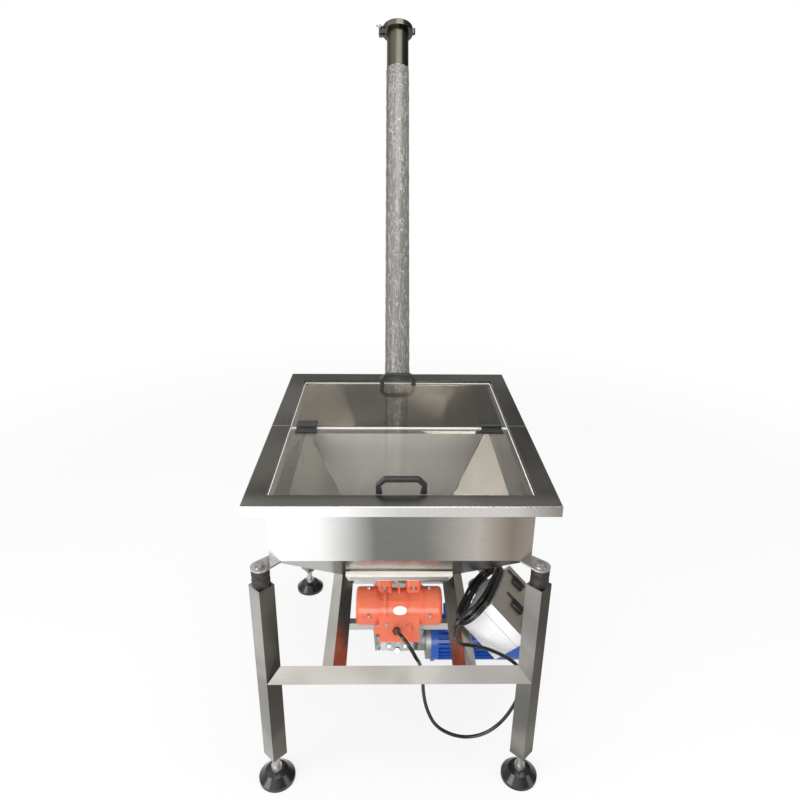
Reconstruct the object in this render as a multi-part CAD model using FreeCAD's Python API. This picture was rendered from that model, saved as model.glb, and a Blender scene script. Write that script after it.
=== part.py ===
import FreeCAD, Part
import math
import os

os.makedirs("parts", exist_ok=True)
V = FreeCAD.Vector

# Screw feeder with a vibrating hopper. All sizes are in millimetres.
# While it is built, X is to the right, Y runs to the rear from the rim's front edge, Z is up from the floor.

# Hopper
rim_width = 660.0
rim_depth = 796.0
rim_top = 800.0
rim_lip = 24.5
sheet = 2.0
skirt_inset = 43.6
skirt_inset_rear = 61.0
skirt_bottom = 636.5
outlet_z = 275.0
outlet_half_width = 64.0
outlet_length = 79.223
neck_length = 22.0
tab_thickness = 4.0
tab_radius = 21.0
tab_reach = 25.0

# Lids
lid_thickness = 5.0
lid_drop = 5.7
lid_gap = 2.0
lid_seat_gap = 0.3
ledge_width = 14.0
ledge_thickness = 2.0
seam_gap = 3.0
seam_y = 399.0
hinge_x = 239.0
hinge_width = 52.0
leaf_length = 37.0
leaf_thickness = 4.0
knuckle_radius = 5.0
pin_radius = 2.0
pin_clearance = 0.06
knuckle_gap = 0.5
handle_length = 109.0
handle_height = 38.0
handle_bar = 11.0
handle_depth = 13.0
handle_chamfer = 17.0
handle_setback = 12.0

# Frame
tube_size = 40.0
tube_wall = 2.0
leg_inset = 26.0
leg_top = 588.6
leg_bottom = 82.5
end_plate = 4.0
rail_z = 330.0
beam_x = 154.5
bar_size = 20.0
bar_y = 215.0
bar_top = 326.0
mount_radius = 20.3
body_gap = 0.3

# Levelling feet
pad_radius = 45.0
pad_edge = 9.0
pad_height = 30.0
hub_radius = 13.0
hub_top = 42.0
stud_radius = 8.0
stud_top = 150.0
nut_flats = 24.0
nut_height = 13.0
thread_clearance = 0.05
hole_clearance = 0.3

# Screw tube and auger
tube_incline = 60.0
screw_radius = 38.0
screw_wall = 2.0
skirt_clearance = 6.0
gear_z = 68.0
tube_end_z = 1836.0
drive_flange_radius = 60.0
drive_flange = 8.0
ferrule_radius = 45.5
ferrule_thickness = 7.0
clamp_radius = 53.0
clamp_width = 20.0
auger_shaft_radius = 12.0
auger_clearance = 2.0
auger_pitch = 80.0
flight_thickness = 3.0
spout_radius = 36.0
spout_setback = 110.0
spout_drop = 215.0
spout_band_radius = 37.5
spout_band_length = 50.0
saddle_thickness = 8.0
saddle_rear = 55.0
saddle_front = 26.0
film_thickness = 0.8
film_start_z = 700.0
film_end_setback = 150.0
chute_clearance = 4.0
chute_top_gap = 13.0
chute_low = 58.0
chute_high = 170.0
neck_clearance = 4.0
sleeve_thickness = 3.0

# Gearbox and drive motor
gear_half_width = 60.0
gear_half_depth = 35.0
gear_front = 62.0
gear_rear = 45.0
worm_offset = 35.0
neck_radius = 40.0
neck_end = 85.0
motor_flange_start = 100.0
motor_flange_thickness = 10.0
motor_flange_radius = 70.0
motor_radius = 58.0
fin_height = 8.0
fin_count = 28
fin_thickness = 2.4
motor_body_end = 296.0
fan_cover_end = 385.0
fan_cover_radius = 67.0
hanger_thickness = 5.0
hanger_gap = 0.3

# Vibration motor, in its own frame: X along its shaft, Z towards the plate it hangs from
vib_along = 269.52
slope_gap = 81.4244
vib_foot_height = 57.0
vib_foot_reach = 55.0
vib_foot_thickness = 15.0
vib_plate_length = 265.0
vib_plate_width = 130.0
vib_core_radius = 44.0
vib_core_half = 56.0
vib_cover_radius = 47.5
vib_cover_end = 107.0
vib_shaft_radius = 8.0
vib_shield = 10.0
vib_box_half = 50.0
vib_box_depth = 38.0
vib_box_bottom = 87.0
gland_radius = 9.0
gland_length = 22.0

# Control box, hung on the right beam and turned so that its door faces up and outwards
box_from_beam = 68.5
box_from_leg = 101.0
box_from_rail = 121.0
box_yaw = 23.8
box_roll = 48.6
box_depth = 110.0
box_width = 125.0
box_length = 170.0
box_door = 34.0
box_wall = 3.0
door_gap = 1.5

# Cord
cord_radius = 4.5
cord_gap = 1.6
coil_thickness = 26.0
coil_half_width = 66.0
coil_start = -45.0
coil_end = 196.0


def block(x0, x1, y0, y1, z0, z1):
    return Part.makeBox(x1 - x0, y1 - y0, z1 - z0, V(x0, y0, z0))


def rod(start, direction, radius, length):
    return Part.makeCylinder(radius, length, start, direction)


def pipe(start, direction, outer, inner, length):
    return rod(start, direction, outer, length).cut(rod(start, direction, inner, length))


def joined(shapes):
    first = shapes[0]
    if len(shapes) == 1:
        return first
    return first.fuse(shapes[1:]).removeSplitter()


def plate(points, direction):
    # A flat outline carried along a direction
    wire = Part.makePolygon(points + [points[0]])
    return Part.Face(wire).extrude(direction)


def hexagon(centre, direction, flats, height):
    # A hexagonal prism on its centre line
    corner = flats / math.sqrt(3.0)
    points = [V(corner * math.cos(math.radians(a)), corner * math.sin(math.radians(a)), 0)
              for a in range(0, 360, 60)]
    prism = plate(points, V(0, 0, height))
    prism.Placement = FreeCAD.Placement(centre, FreeCAD.Rotation(V(0, 0, 1), direction))
    return prism


def diamond(centre, along, size, length):
    # A square bar turned by 45 degrees about its own axis, starting at its centre point
    half = size / math.sqrt(2.0)
    if abs(along.z) > 0.5:
        sides = [V(half, 0, 0), V(0, half, 0)]
    elif abs(along.x) > 0.5:
        sides = [V(0, half, 0), V(0, 0, half)]
    else:
        sides = [V(half, 0, 0), V(0, 0, half)]
    first, second = sides
    points = [centre + first, centre + second, centre - first, centre - second]
    return plate(points, along * length)


def rectangle(x0, x1, y0, y1, z):
    points = [V(x0, y0, z), V(x1, y0, z), V(x1, y1, z), V(x0, y1, z)]
    return Part.makePolygon(points + [points[0]])


def walls_between(upper_outer, upper_inner, lower_outer, lower_inner):
    # Four flat walls with mitred corners, between two outlines at the top and two at the bottom
    walls = []
    for index in range(4):
        after = (index + 1) % 4
        ends = []
        for outer, inner in ((upper_outer, upper_inner), (lower_outer, lower_inner)):
            points = [outer[index], outer[after], inner[after], inner[index]]
            ends.append(Part.makePolygon(points + [points[0]]))
        walls.append(Part.makeLoft(ends, True, True))
    return walls


def corners_of(x, y0, y1, z):
    return [V(-x, y0, z), V(x, y0, z), V(x, y1, z), V(-x, y1, z)]


def without(shape, cutters):
    # The shape with the cutters taken away, as a list of its remaining solids
    pieces = [shape]
    for cutter in cutters:
        left = []
        for piece in pieces:
            left.extend(part for part in piece.cut(cutter).Solids if part.Volume > 1.0)
        pieces = left
    return pieces


def placed(shape, placement):
    copy = shape.copy()
    copy.Placement = placement.multiply(copy.Placement)
    return copy


# Places worked out from the sizes
half_width = rim_width / 2.0
leg_x = half_width - leg_inset
leg_front_y = leg_inset
leg_rear_y = rim_depth - leg_inset
skirt_x = half_width - skirt_inset
skirt_front = skirt_inset
skirt_rear = rim_depth - skirt_inset_rear
half_diamond = tube_size / math.sqrt(2.0)
rear_slope = tube_incline
incline = math.radians(tube_incline)
axis_at_skirt = skirt_rear + skirt_clearance + screw_radius / math.sin(incline)
gear_y = axis_at_skirt - (skirt_bottom - gear_z) / math.tan(incline)
tube_axis = V(0, math.cos(incline), math.sin(incline))
tube_place = FreeCAD.Placement(V(0, gear_y, gear_z), FreeCAD.Rotation(V(1, 0, 0), tube_incline - 90.0))
tube_length = (tube_end_z - gear_z) / math.sin(incline)
outlet_drop = skirt_bottom - outlet_z
outlet_rear = skirt_rear - outlet_drop / math.tan(math.radians(rear_slope))
outlet_front = outlet_rear - outlet_length
front_slope = math.degrees(math.atan2(outlet_drop, outlet_front - skirt_front))
slope_cos = math.cos(math.radians(front_slope))
slope_sin = math.sin(math.radians(front_slope))
vib_y = skirt_front + vib_along * slope_cos - slope_gap * slope_sin
vib_z = skirt_bottom - vib_along * slope_sin - slope_gap * slope_cos
vib_place = FreeCAD.Placement(V(0, vib_y, vib_z), FreeCAD.Rotation(V(1, 0, 0), -front_slope))
box_corner = V(beam_x + box_from_beam, leg_front_y + box_from_leg, rail_z + box_from_rail)
lid_top = rim_top - lid_drop
lid_bottom = lid_top - lid_thickness
ledge_top = lid_bottom - lid_seat_gap
pin_z = lid_top + knuckle_radius + body_gap
tab_top = skirt_bottom
tab_bottom = tab_top - tab_thickness
leg_centres = [V(x, y, 0) for y in (leg_front_y, leg_rear_y) for x in (-leg_x, leg_x)]
worm_y = gear_y - worm_offset * math.sin(incline)
worm_z = gear_z + worm_offset * math.cos(incline)

nodes = {}


def along_tube(distance):
    # The world point at a distance up the tube's axis from the gear centre
    return V(0, gear_y, gear_z) + tube_axis * distance


def make_hopper():
    outer = block(-half_width, half_width, 0, rim_depth, rim_top - rim_lip, rim_top)
    hollow = block(-half_width + sheet, half_width - sheet, sheet, rim_depth - sheet,
                   rim_top - rim_lip - 1, rim_top - sheet)
    mouth = block(-skirt_x + sheet, skirt_x - sheet, skirt_front + sheet, skirt_rear - sheet,
                  rim_top - rim_lip - 1, rim_top + 1)
    rim = outer.cut(hollow).cut(mouth)
    bent = [edge for edge in rim.Edges if abs(edge.CenterOfMass.z - rim_top) < 0.01
            and (abs(abs(edge.CenterOfMass.x) - half_width) < 0.01
                 or edge.CenterOfMass.y < 0.01 or edge.CenterOfMass.y > rim_depth - 0.01)]
    nodes["hopper_rim"] = rim.makeFillet(sheet * 0.9, bent)

    walls = block(-skirt_x, skirt_x, skirt_front, skirt_rear, skirt_bottom, rim_top - sheet)
    inside = block(-skirt_x + sheet, skirt_x - sheet, skirt_front + sheet, skirt_rear - sheet,
                   skirt_bottom - 1, rim_top)
    nodes["hopper_skirt"] = walls.cut(inside)

    side_angle = math.atan2(outlet_drop, skirt_x - outlet_half_width)
    side_in = sheet / math.sin(side_angle)
    front_in = sheet / math.sin(math.radians(front_slope))
    rear_in = sheet / math.sin(math.radians(rear_slope))
    outside = Part.makeLoft([rectangle(-skirt_x, skirt_x, skirt_front, skirt_rear, skirt_bottom),
                             rectangle(-outlet_half_width, outlet_half_width, outlet_front, outlet_rear,
                                       outlet_z)], True, True)
    low_x = outlet_half_width - side_in
    low_front = outlet_front + front_in
    low_rear = outlet_rear - rear_in
    nodes["hopper_cone"] = Part.makeCompound(walls_between(
        corners_of(skirt_x, skirt_front, skirt_rear, skirt_bottom),
        corners_of(skirt_x - side_in, skirt_front + front_in, skirt_rear - rear_in, skirt_bottom),
        corners_of(outlet_half_width, outlet_front, outlet_rear, outlet_z),
        corners_of(low_x, low_front, low_rear, outlet_z)))

    # The neck's rear wall ends above the screw tube
    neck_bottom = outlet_z - neck_length
    neck = walls_between(corners_of(outlet_half_width, outlet_front, outlet_rear, outlet_z),
                         corners_of(low_x, low_front, low_rear, outlet_z),
                         corners_of(outlet_half_width, outlet_front, outlet_rear, neck_bottom),
                         corners_of(low_x, low_front, low_rear, neck_bottom))
    tube_top_here = gear_z + (outlet_rear - gear_y) * math.tan(incline)
    tube_top_here = tube_top_here + (screw_radius + neck_clearance) / math.cos(incline)
    over_tube = block(-half_width, half_width, low_rear - 1, outlet_rear + 1, 0, min(tube_top_here, outlet_z - 1))
    neck[2] = neck[2].cut(over_tube)
    nodes["hopper_neck"] = Part.makeCompound(neck)

    frame = block(-skirt_x + sheet, skirt_x - sheet, skirt_front + sheet, skirt_rear - sheet,
                  ledge_top - ledge_thickness, ledge_top)
    inner = sheet + ledge_width
    window = block(-skirt_x + inner, skirt_x - inner, skirt_front + inner, skirt_rear - inner,
                   ledge_top - ledge_thickness - 1, ledge_top + 1)
    bar = block(-skirt_x + sheet, skirt_x - sheet, seam_y - ledge_width, seam_y + ledge_width,
                ledge_top - ledge_thickness, ledge_top)
    web = block(-skirt_x + sheet, skirt_x - sheet, seam_y - sheet / 2, seam_y + sheet / 2,
                ledge_top - ledge_width, ledge_top)
    nodes["lid_ledge"] = joined([frame.cut(window), bar, web])
    return outside


def corner_tab(centre, cone):
    side = 1.0 if centre.x > 0 else -1.0
    rear = centre.y > rim_depth / 2
    wall_y = skirt_rear if rear else skirt_front
    inward = -1.0 if rear else 1.0
    corner = V(side * skirt_x, wall_y, 0)
    towards = V(centre.x, centre.y, 0) - corner
    towards.normalize()
    across = V(-towards.y, towards.x, 0) * tab_radius
    on_side = V(corner.x, corner.y + inward * tab_reach, 0)
    on_front = V(corner.x - side * tab_reach, corner.y, 0)
    points = [on_side, centre + across, centre - across, on_front]
    if (on_side - (centre + across)).Length > (on_side - (centre - across)).Length:
        points = [on_side, centre - across, centre + across, on_front]
    lifted = [V(p.x, p.y, tab_bottom) for p in points]
    web = plate(lifted, V(0, 0, tab_thickness))
    foot = V(centre.x, centre.y, tab_bottom)
    disc = rod(foot, V(0, 0, 1), tab_radius, tab_thickness)
    hole = rod(foot, V(0, 0, 1), bolt_radius + hole_clearance, tab_thickness)
    return joined([web.cut(cone), disc]).cut(hole)


bolt_radius = 5.0
bolt_flats = 17.0
bolt_head = 7.0
washer_radius = 12.0
washer_thickness = 2.0


def make_mounts(cone):
    tabs = []
    bolts = []
    rubbers = []
    for centre in leg_centres:
        tabs.append(corner_tab(centre, cone))
        top = V(centre.x, centre.y, tab_top)
        washer = rod(top, V(0, 0, 1), washer_radius, washer_thickness)
        head = hexagon(top + V(0, 0, washer_thickness), V(0, 0, 1), bolt_flats, bolt_head)
        shank = rod(V(centre.x, centre.y, tab_bottom + body_gap), V(0, 0, 1), bolt_radius, tab_thickness)
        bolts.append(joined([head, shank, washer]))
        base = V(centre.x, centre.y, leg_top)
        height = tab_bottom - leg_top - body_gap
        waist = Part.makeTorus(mount_radius + 4.5, 6.0, base + V(0, 0, height / 2), V(0, 0, 1))
        rubbers.append(rod(base, V(0, 0, 1), mount_radius, height).cut(waist))
    nodes["corner_tabs"] = Part.makeCompound(tabs)
    nodes["mount_bolts"] = Part.makeCompound(bolts)
    nodes["rubber_mounts"] = Part.makeCompound(rubbers)


def make_lids():
    edge_x = skirt_x - sheet - lid_gap
    front_edge = skirt_front + sheet + lid_gap
    rear_edge = skirt_rear - sheet - lid_gap
    middle_front = seam_y - seam_gap / 2
    middle_rear = seam_y + seam_gap / 2
    spans = {"front": (front_edge, middle_front, -1.0, front_edge + handle_setback),
             "rear": (middle_rear, rear_edge, 1.0, rear_edge - handle_setback)}
    for name, (y0, y1, way, handle_y) in spans.items():
        lid = block(-edge_x, edge_x, y0, y1, lid_bottom, lid_top)
        upright = [edge for edge in lid.Edges if edge.BoundBox.ZLength > lid_thickness - 0.1]
        nodes["lid_" + name] = lid.makeFillet(4.0, upright)
        nodes["handle_" + name] = make_handle(handle_y, way)
    make_hinges()


def make_handle(outer_y, way):
    # A moulded U handle with chamfered upper corners; way is -1 at the front edge, 1 at the rear edge
    half = handle_length / 2
    top = lid_top + handle_height
    outline = [V(-half, 0, lid_top), V(-half, 0, top - handle_chamfer), V(-half + handle_chamfer, 0, top),
               V(half - handle_chamfer, 0, top), V(half, 0, top - handle_chamfer), V(half, 0, lid_top),
               V(half - handle_bar * 1.3, 0, lid_top), V(half - handle_bar, 0, top - handle_chamfer - 3),
               V(half - handle_chamfer - 4, 0, top - handle_bar), V(-half + handle_chamfer + 4, 0, top - handle_bar),
               V(-half + handle_bar, 0, top - handle_chamfer - 3), V(-half + handle_bar * 1.3, 0, lid_top)]
    y0 = outer_y if way < 0 else outer_y - handle_depth
    bar = plate([V(p.x, y0, p.z) for p in outline], V(0, handle_depth, 0))
    long_edges = [edge for edge in bar.Edges
                  if edge.BoundBox.YLength < 0.01 and edge.CenterOfMass.z > lid_top + 1]
    return bar.makeFillet(2.5, long_edges)


def make_hinges():
    half = hinge_width / 2
    third = hinge_width / 4
    leaves = {"front": [], "rear": []}
    pins = []
    for centre_x in (-hinge_x, hinge_x):
        start = V(centre_x - half, seam_y, pin_z)
        knuckles = {"front": [(0, third - knuckle_gap), (hinge_width - third + knuckle_gap, hinge_width)],
                    "rear": [(third, hinge_width - third)]}
        for name, way in (("front", -1.0), ("rear", 1.0)):
            near = seam_y + way * (knuckle_radius + 1.0)
            far = seam_y + way * leaf_length
            leaf = block(centre_x - half, centre_x + half, min(near, far), max(near, far),
                         lid_top, lid_top + leaf_thickness)
            pieces = [leaf]
            for first, last in knuckles[name]:
                here = start + V(first, 0, 0)
                arm = block(here.x, here.x + last - first, min(seam_y, near), max(seam_y, near),
                            lid_top + body_gap, lid_top + leaf_thickness)
                pieces.append(rod(here, V(1, 0, 0), knuckle_radius, last - first))
                pieces.append(arm)
            whole = joined(pieces)
            bore = rod(start - V(1, 0, 0), V(1, 0, 0), pin_radius + pin_clearance, hinge_width + 2)
            leaves[name].append(whole.cut(bore))
        pins.append(rod(start, V(1, 0, 0), pin_radius, hinge_width))
    nodes["hinge_leaves_front"] = Part.makeCompound(leaves["front"])
    nodes["hinge_leaves_rear"] = Part.makeCompound(leaves["rear"])
    nodes["hinge_pins"] = Part.makeCompound(pins)


def make_frame():
    legs = []
    nuts = []
    inner = tube_size - 2 * tube_wall
    height = leg_top - leg_bottom
    for centre in leg_centres:
        base = V(centre.x, centre.y, leg_bottom)
        wall = diamond(base, V(0, 0, 1), tube_size, height).cut(diamond(base, V(0, 0, 1), inner, height))
        top = diamond(V(centre.x, centre.y, leg_top - end_plate), V(0, 0, 1), inner, end_plate)
        bottom = diamond(base, V(0, 0, 1), inner, end_plate)
        hole = rod(base, V(0, 0, 1), stud_radius + hole_clearance, end_plate)
        legs.append(joined([wall, top, bottom.cut(hole)]))
        nut = hexagon(base - V(0, 0, nut_height), V(0, 0, 1), nut_flats, nut_height)
        nuts.append(nut.cut(rod(base - V(0, 0, nut_height), V(0, 0, 1), stud_radius + thread_clearance,
                                nut_height)))
    nodes["legs"] = Part.makeCompound(legs)
    nodes["foot_nuts"] = Part.makeCompound(nuts)

    rails = []
    rail_cutters = []
    for y in (leg_front_y, leg_rear_y):
        start = V(-leg_x, y, rail_z)
        solid = diamond(start, V(1, 0, 0), tube_size, 2 * leg_x)
        rail_cutters.append(solid)
        rail = solid.cut(diamond(start, V(1, 0, 0), inner, 2 * leg_x))
        for x in (-leg_x, leg_x):
            rail = rail.cut(diamond(V(x, y, leg_bottom), V(0, 0, 1), tube_size, height))
        rails.append(rail)
    nodes["cross_rails"] = Part.makeCompound(rails)

    beams = []
    beam_cutters = []
    for x in (-beam_x, beam_x):
        start = V(x, leg_front_y, rail_z)
        length = leg_rear_y - leg_front_y
        solid = diamond(start, V(0, 1, 0), tube_size, length)
        beam_cutters.append(solid)
        beam = solid.cut(diamond(start, V(0, 1, 0), inner, length))
        for cutter in rail_cutters:
            beam = beam.cut(cutter)
        beams.append(beam)
    nodes["side_beams"] = Part.makeCompound(beams)

    bar = block(-beam_x, beam_x, bar_y - bar_size / 2, bar_y + bar_size / 2, bar_top - bar_size, bar_top)
    bore = block(-beam_x, beam_x, bar_y - bar_size / 2 + tube_wall, bar_y + bar_size / 2 - tube_wall,
                 bar_top - bar_size + tube_wall, bar_top - tube_wall)
    bar = bar.cut(bore)
    saddle_at = (rail_z - gear_z) / math.sin(incline)
    saddle = block(-beam_x, beam_x, -saddle_front, saddle_rear,
                   saddle_at - saddle_thickness / 2, saddle_at + saddle_thickness / 2)
    saddle = saddle.cut(rod(V(0, 0, saddle_at - saddle_thickness), V(0, 0, 1), screw_radius,
                            2 * saddle_thickness))
    saddle = placed(saddle, tube_place)
    for cutter in beam_cutters:
        bar = bar.cut(cutter)
        saddle = saddle.cut(cutter)
    nodes["front_cross_bar"] = bar
    nodes["tube_saddle"] = saddle
    return beam_cutters


def make_feet():
    names = ["foot_front_left", "foot_front_right", "foot_rear_left", "foot_rear_right"]
    for name, centre in zip(names, leg_centres):
        profile = [V(0, 0, 0), V(pad_radius, 0, 0), V(pad_radius, 0, pad_edge),
                   V(pad_radius * 0.62, 0, pad_height - 4), V(hub_radius + 4, 0, pad_height), V(0, 0, pad_height)]
        face = Part.Face(Part.makePolygon(profile + [profile[0]]))
        pad = face.revolve(V(0, 0, 0), V(0, 0, 1), 360)
        pad.translate(V(centre.x, centre.y, 0))
        stud = joined([rod(V(centre.x, centre.y, pad_height), V(0, 0, 1), hub_radius, hub_top - pad_height),
                       rod(V(centre.x, centre.y, pad_height), V(0, 0, 1), stud_radius, stud_top - pad_height)])
        nodes[name] = Part.makeCompound([pad, stud])


def make_screw():
    start = gear_half_depth
    flange = rod(V(0, 0, start), V(0, 0, 1), drive_flange_radius, drive_flange)
    tube_top = tube_length
    barrel = rod(V(0, 0, start), V(0, 0, 1), screw_radius, tube_top - start)
    ferrule = rod(V(0, 0, tube_top - ferrule_thickness), V(0, 0, 1), ferrule_radius, ferrule_thickness)
    body = joined([barrel, flange, ferrule])
    bore = rod(V(0, 0, start), V(0, 0, 1), screw_radius - screw_wall, tube_top - start)
    body = placed(body.cut(bore), tube_place)

    # The chute joins the hopper's outlet to the tube's upper side. Its walls are flat sheets.
    collar_top = outlet_z - chute_top_gap
    collar_bottom = collar_top - 2 * neck_length
    half = outlet_half_width + chute_clearance
    wall_front = outlet_front - chute_clearance
    wall_rear = outlet_rear + chute_clearance
    solid_tube = placed(rod(V(0, 0, start), V(0, 0, 1), screw_radius, tube_top - start), tube_place)
    collar = walls_between(corners_of(half, wall_front, wall_rear, collar_top),
                           corners_of(half - sheet, wall_front + sheet, wall_rear - sheet, collar_top),
                           corners_of(half, wall_front, wall_rear, collar_bottom),
                           corners_of(half - sheet, wall_front + sheet, wall_rear - sheet, collar_bottom))
    feet = []
    for inset in (0.0, sheet):
        side = screw_radius - inset
        low = chute_low + inset
        high = chute_high - inset
        flat = [V(-side, 0, low), V(side, 0, low), V(side, 0, high), V(-side, 0, high)]
        feet.append([tube_place.multVec(p) for p in flat])
    mouth = corners_of(half, wall_front, wall_rear, collar_bottom)
    slabs = []
    for side, front, rear in ((1.0, 1, 2), (-1.0, 0, 3)):
        for points in ([mouth[front], mouth[rear], feet[0][front]], [mouth[rear], feet[0][rear], feet[0][front]]):
            normal = (points[1] - points[0]).cross(points[2] - points[0])
            normal.normalize()
            inward = normal * (-sheet if normal.x * side > 0 else sheet)
            slabs.append(plate(points, inward))
    inner_mouth = corners_of(half - sheet, wall_front + sheet, wall_rear - sheet, collar_bottom)
    sloped = walls_between(mouth, inner_mouth, feet[0], feet[1])
    walls = []
    for wall in collar:
        walls.extend(without(wall, [solid_tube]))
    above = block(-half - 9, half + 9, wall_front - 9, wall_rear + 9, collar_bottom, collar_top)
    cutters = [above, solid_tube]
    for wall in slabs + [sloped[0], sloped[2]]:
        walls.extend(without(wall, cutters))
        cutters.append(wall)
    nodes["feed_chute"] = Part.makeCompound(walls)
    hole = joined([block(-half + sheet, half - sheet, wall_front + sheet, wall_rear - sheet,
                         collar_bottom - 0.02, collar_top + sheet),
                   Part.makeLoft([Part.makePolygon(inner_mouth + [inner_mouth[0]]),
                                  Part.makePolygon(feet[1] + [feet[1][0]])], True, True)])
    body = body.cut(hole)

    # The discharge spout hangs from the tube's underside near its top
    spout_centre = along_tube(tube_top - spout_setback)
    outer = rod(spout_centre, V(0, 0, -1), spout_radius, spout_drop)
    inner = rod(spout_centre, V(0, 0, -1), spout_radius - sheet, spout_drop)
    spout = outer.cut(inner).cut(solid_tube)
    lower = [piece for piece in spout.Solids if piece.CenterOfMass.z < spout_centre.z]
    spout_end = spout_centre - V(0, 0, spout_drop)
    band = pipe(spout_end, V(0, 0, 1), spout_band_radius, spout_radius - sheet, spout_band_length)
    nodes["discharge_spout"] = joined([max(lower, key=lambda s: s.Volume), band])
    nodes["screw_tube"] = body.cut(inner)

    # A flight of even pitch on a straight shaft
    flight_radius = screw_radius - screw_wall - auger_clearance
    flight_start = gear_half_depth + drive_flange
    turns = int((tube_top - spout_setback - flight_start) / auger_pitch)
    height = turns * auger_pitch
    helix = Part.makeHelix(auger_pitch, height, auger_shaft_radius)
    section = Part.makePolygon([V(auger_shaft_radius - 1, 0, -flight_thickness / 2),
                                V(flight_radius, 0, -flight_thickness / 2),
                                V(flight_radius, 0, flight_thickness / 2),
                                V(auger_shaft_radius - 1, 0, flight_thickness / 2),
                                V(auger_shaft_radius - 1, 0, -flight_thickness / 2)])
    flight = Part.Wire(helix).makePipeShell([section], True, True)
    flight.translate(V(0, 0, flight_start + flight_thickness))
    shaft_start = -gear_half_depth + 6.0
    shaft = rod(V(0, 0, shaft_start), V(0, 0, 1), auger_shaft_radius, tube_top - shaft_start)
    nodes["auger"] = placed(joined([shaft, flight]), tube_place)


def make_tube_end():
    top = tube_length
    cap = joined([rod(V(0, 0, top), V(0, 0, 1), ferrule_radius, ferrule_thickness),
                  rod(V(0, 0, top), V(0, 0, 1), screw_radius - 6, ferrule_thickness + 10)])
    seat = rod(V(0, 0, top), V(0, 0, 1), auger_shaft_radius + pin_clearance, 10)
    cap = cap.cut(seat)
    nodes["end_cap"] = placed(cap.makeFillet(4.0, [e for e in cap.Edges
                                                   if abs(e.CenterOfMass.z - top - ferrule_thickness - 10) < 0.01]),
                              tube_place)
    ring = pipe(V(0, 0, top - clamp_width / 2), V(0, 0, 1), clamp_radius, screw_radius + 1.5, clamp_width)
    groove = rod(V(0, 0, top - ferrule_thickness), V(0, 0, 1), ferrule_radius, 2 * ferrule_thickness)
    gap = block(-clamp_radius - 30, -screw_radius, -6, 6, top - clamp_width, top + clamp_width)
    knuckle = rod(V(clamp_radius + 2, 0, top - clamp_width / 2), V(0, 0, 1), 7, clamp_width)
    clear = rod(V(0, 0, top - clamp_width), V(0, 0, 1), screw_radius + 1.5, 2 * clamp_width)
    ring = joined([ring, knuckle]).cut(groove).cut(clear).cut(gap)
    outside = rod(V(0, 0, top - clamp_width), V(0, 0, 1), clamp_radius, 2 * clamp_width)
    eye_x = -clamp_radius - 9
    hole = rod(V(eye_x, 13, top - clamp_width), V(0, 0, 1), 2.5 + pin_clearance, 2 * clamp_width)
    ears = []
    for side in (-1, 1):
        for low, high in ((-clamp_width / 2, -4.3), (4.3, clamp_width / 2)):
            ear = block(-clamp_radius - 13.2, -clamp_radius + 4, side * 13 - 7, side * 13 + 7, top + low, top + high)
            ears.append(ear.cut(outside).cut(hole))
    nodes["clamp_ring"] = placed(Part.makeCompound([ring] + ears), tube_place)

    # The swing bolt turns about its eye between the rear ears and lies in the slot of the front ears
    pivot = rod(V(eye_x, 13, top - clamp_width / 2), V(0, 0, 1), 2.5, clamp_width)
    eye = rod(V(eye_x, 13, top - 4), V(0, 0, 1), 5.5, 8)
    bolt = rod(V(eye_x, 13, top), V(0, -1, 0), 3, 50)
    nodes["clamp_bolt"] = placed(joined([eye, bolt, pivot]), tube_place)
    hub = rod(V(eye_x, -20.5, top), V(0, -1, 0), 7, 12)
    wings = block(eye_x - 13, eye_x + 13, -31, -24, top - 2, top + 2)
    wings = wings.makeFillet(3.0, [e for e in wings.Edges if e.BoundBox.ZLength > 3.9])
    nut = joined([hub, wings]).cut(rod(V(eye_x, -15, top), V(0, -1, 0), 3 + thread_clearance, 30))
    nodes["wing_nut"] = placed(nut, tube_place)

    low = (film_start_z - gear_z) / math.sin(incline)
    length = top - film_end_setback - low
    inner = screw_radius + body_gap
    film = pipe(V(0, 0, low), V(0, 0, 1), inner + film_thickness, inner, length)
    spout = rod(along_tube(top - spout_setback), V(0, 0, -1), spout_radius + body_gap, spout_drop)
    nodes["tube_film"] = max(placed(film, tube_place).cut(spout).Solids, key=lambda s: s.Volume)


def make_sleeve():
    # A flange under the cone and a skirt round the chute's collar, open at the rear where the tube passes
    top = outlet_z - 1
    seat = top - sleeve_thickness
    bottom = outlet_z - neck_length - 6
    inner = outlet_half_width + chute_clearance + body_gap
    outer = inner + sleeve_thickness
    front = outlet_front - chute_clearance - body_gap
    rear = outlet_rear + chute_clearance + body_gap
    front_out = front - sleeve_thickness
    rear_out = rear + sleeve_thickness

    def beside_tube(z):
        # How far from the middle the strips start, to clear the tube at this height
        off_axis = (gear_z + (rear_out - gear_y) * math.tan(incline) - z) * math.cos(incline)
        room = (screw_radius + neck_clearance) ** 2 - off_axis ** 2
        return math.sqrt(max(room, 0.0)) + 1.0

    strips = [block(-outer, outer, front_out, outlet_front, seat, top),
              block(-outer, outer, front_out, front, bottom, seat)]
    for side in (-1.0, 1.0):
        pieces = [(outlet_half_width, outer, outlet_front, outlet_rear, seat, top),
                  (beside_tube(seat), outer, outlet_rear, rear_out, seat, top),
                  (inner, outer, front, rear, bottom, seat),
                  (beside_tube(bottom), outer, rear, rear_out, bottom, seat)]
        for x0, x1, y0, y1, z0, z1 in pieces:
            strips.append(block(min(side * x0, side * x1), max(side * x0, side * x1), y0, y1, z0, z1))
    nodes["outlet_sleeve"] = Part.makeCompound(strips)


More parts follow.
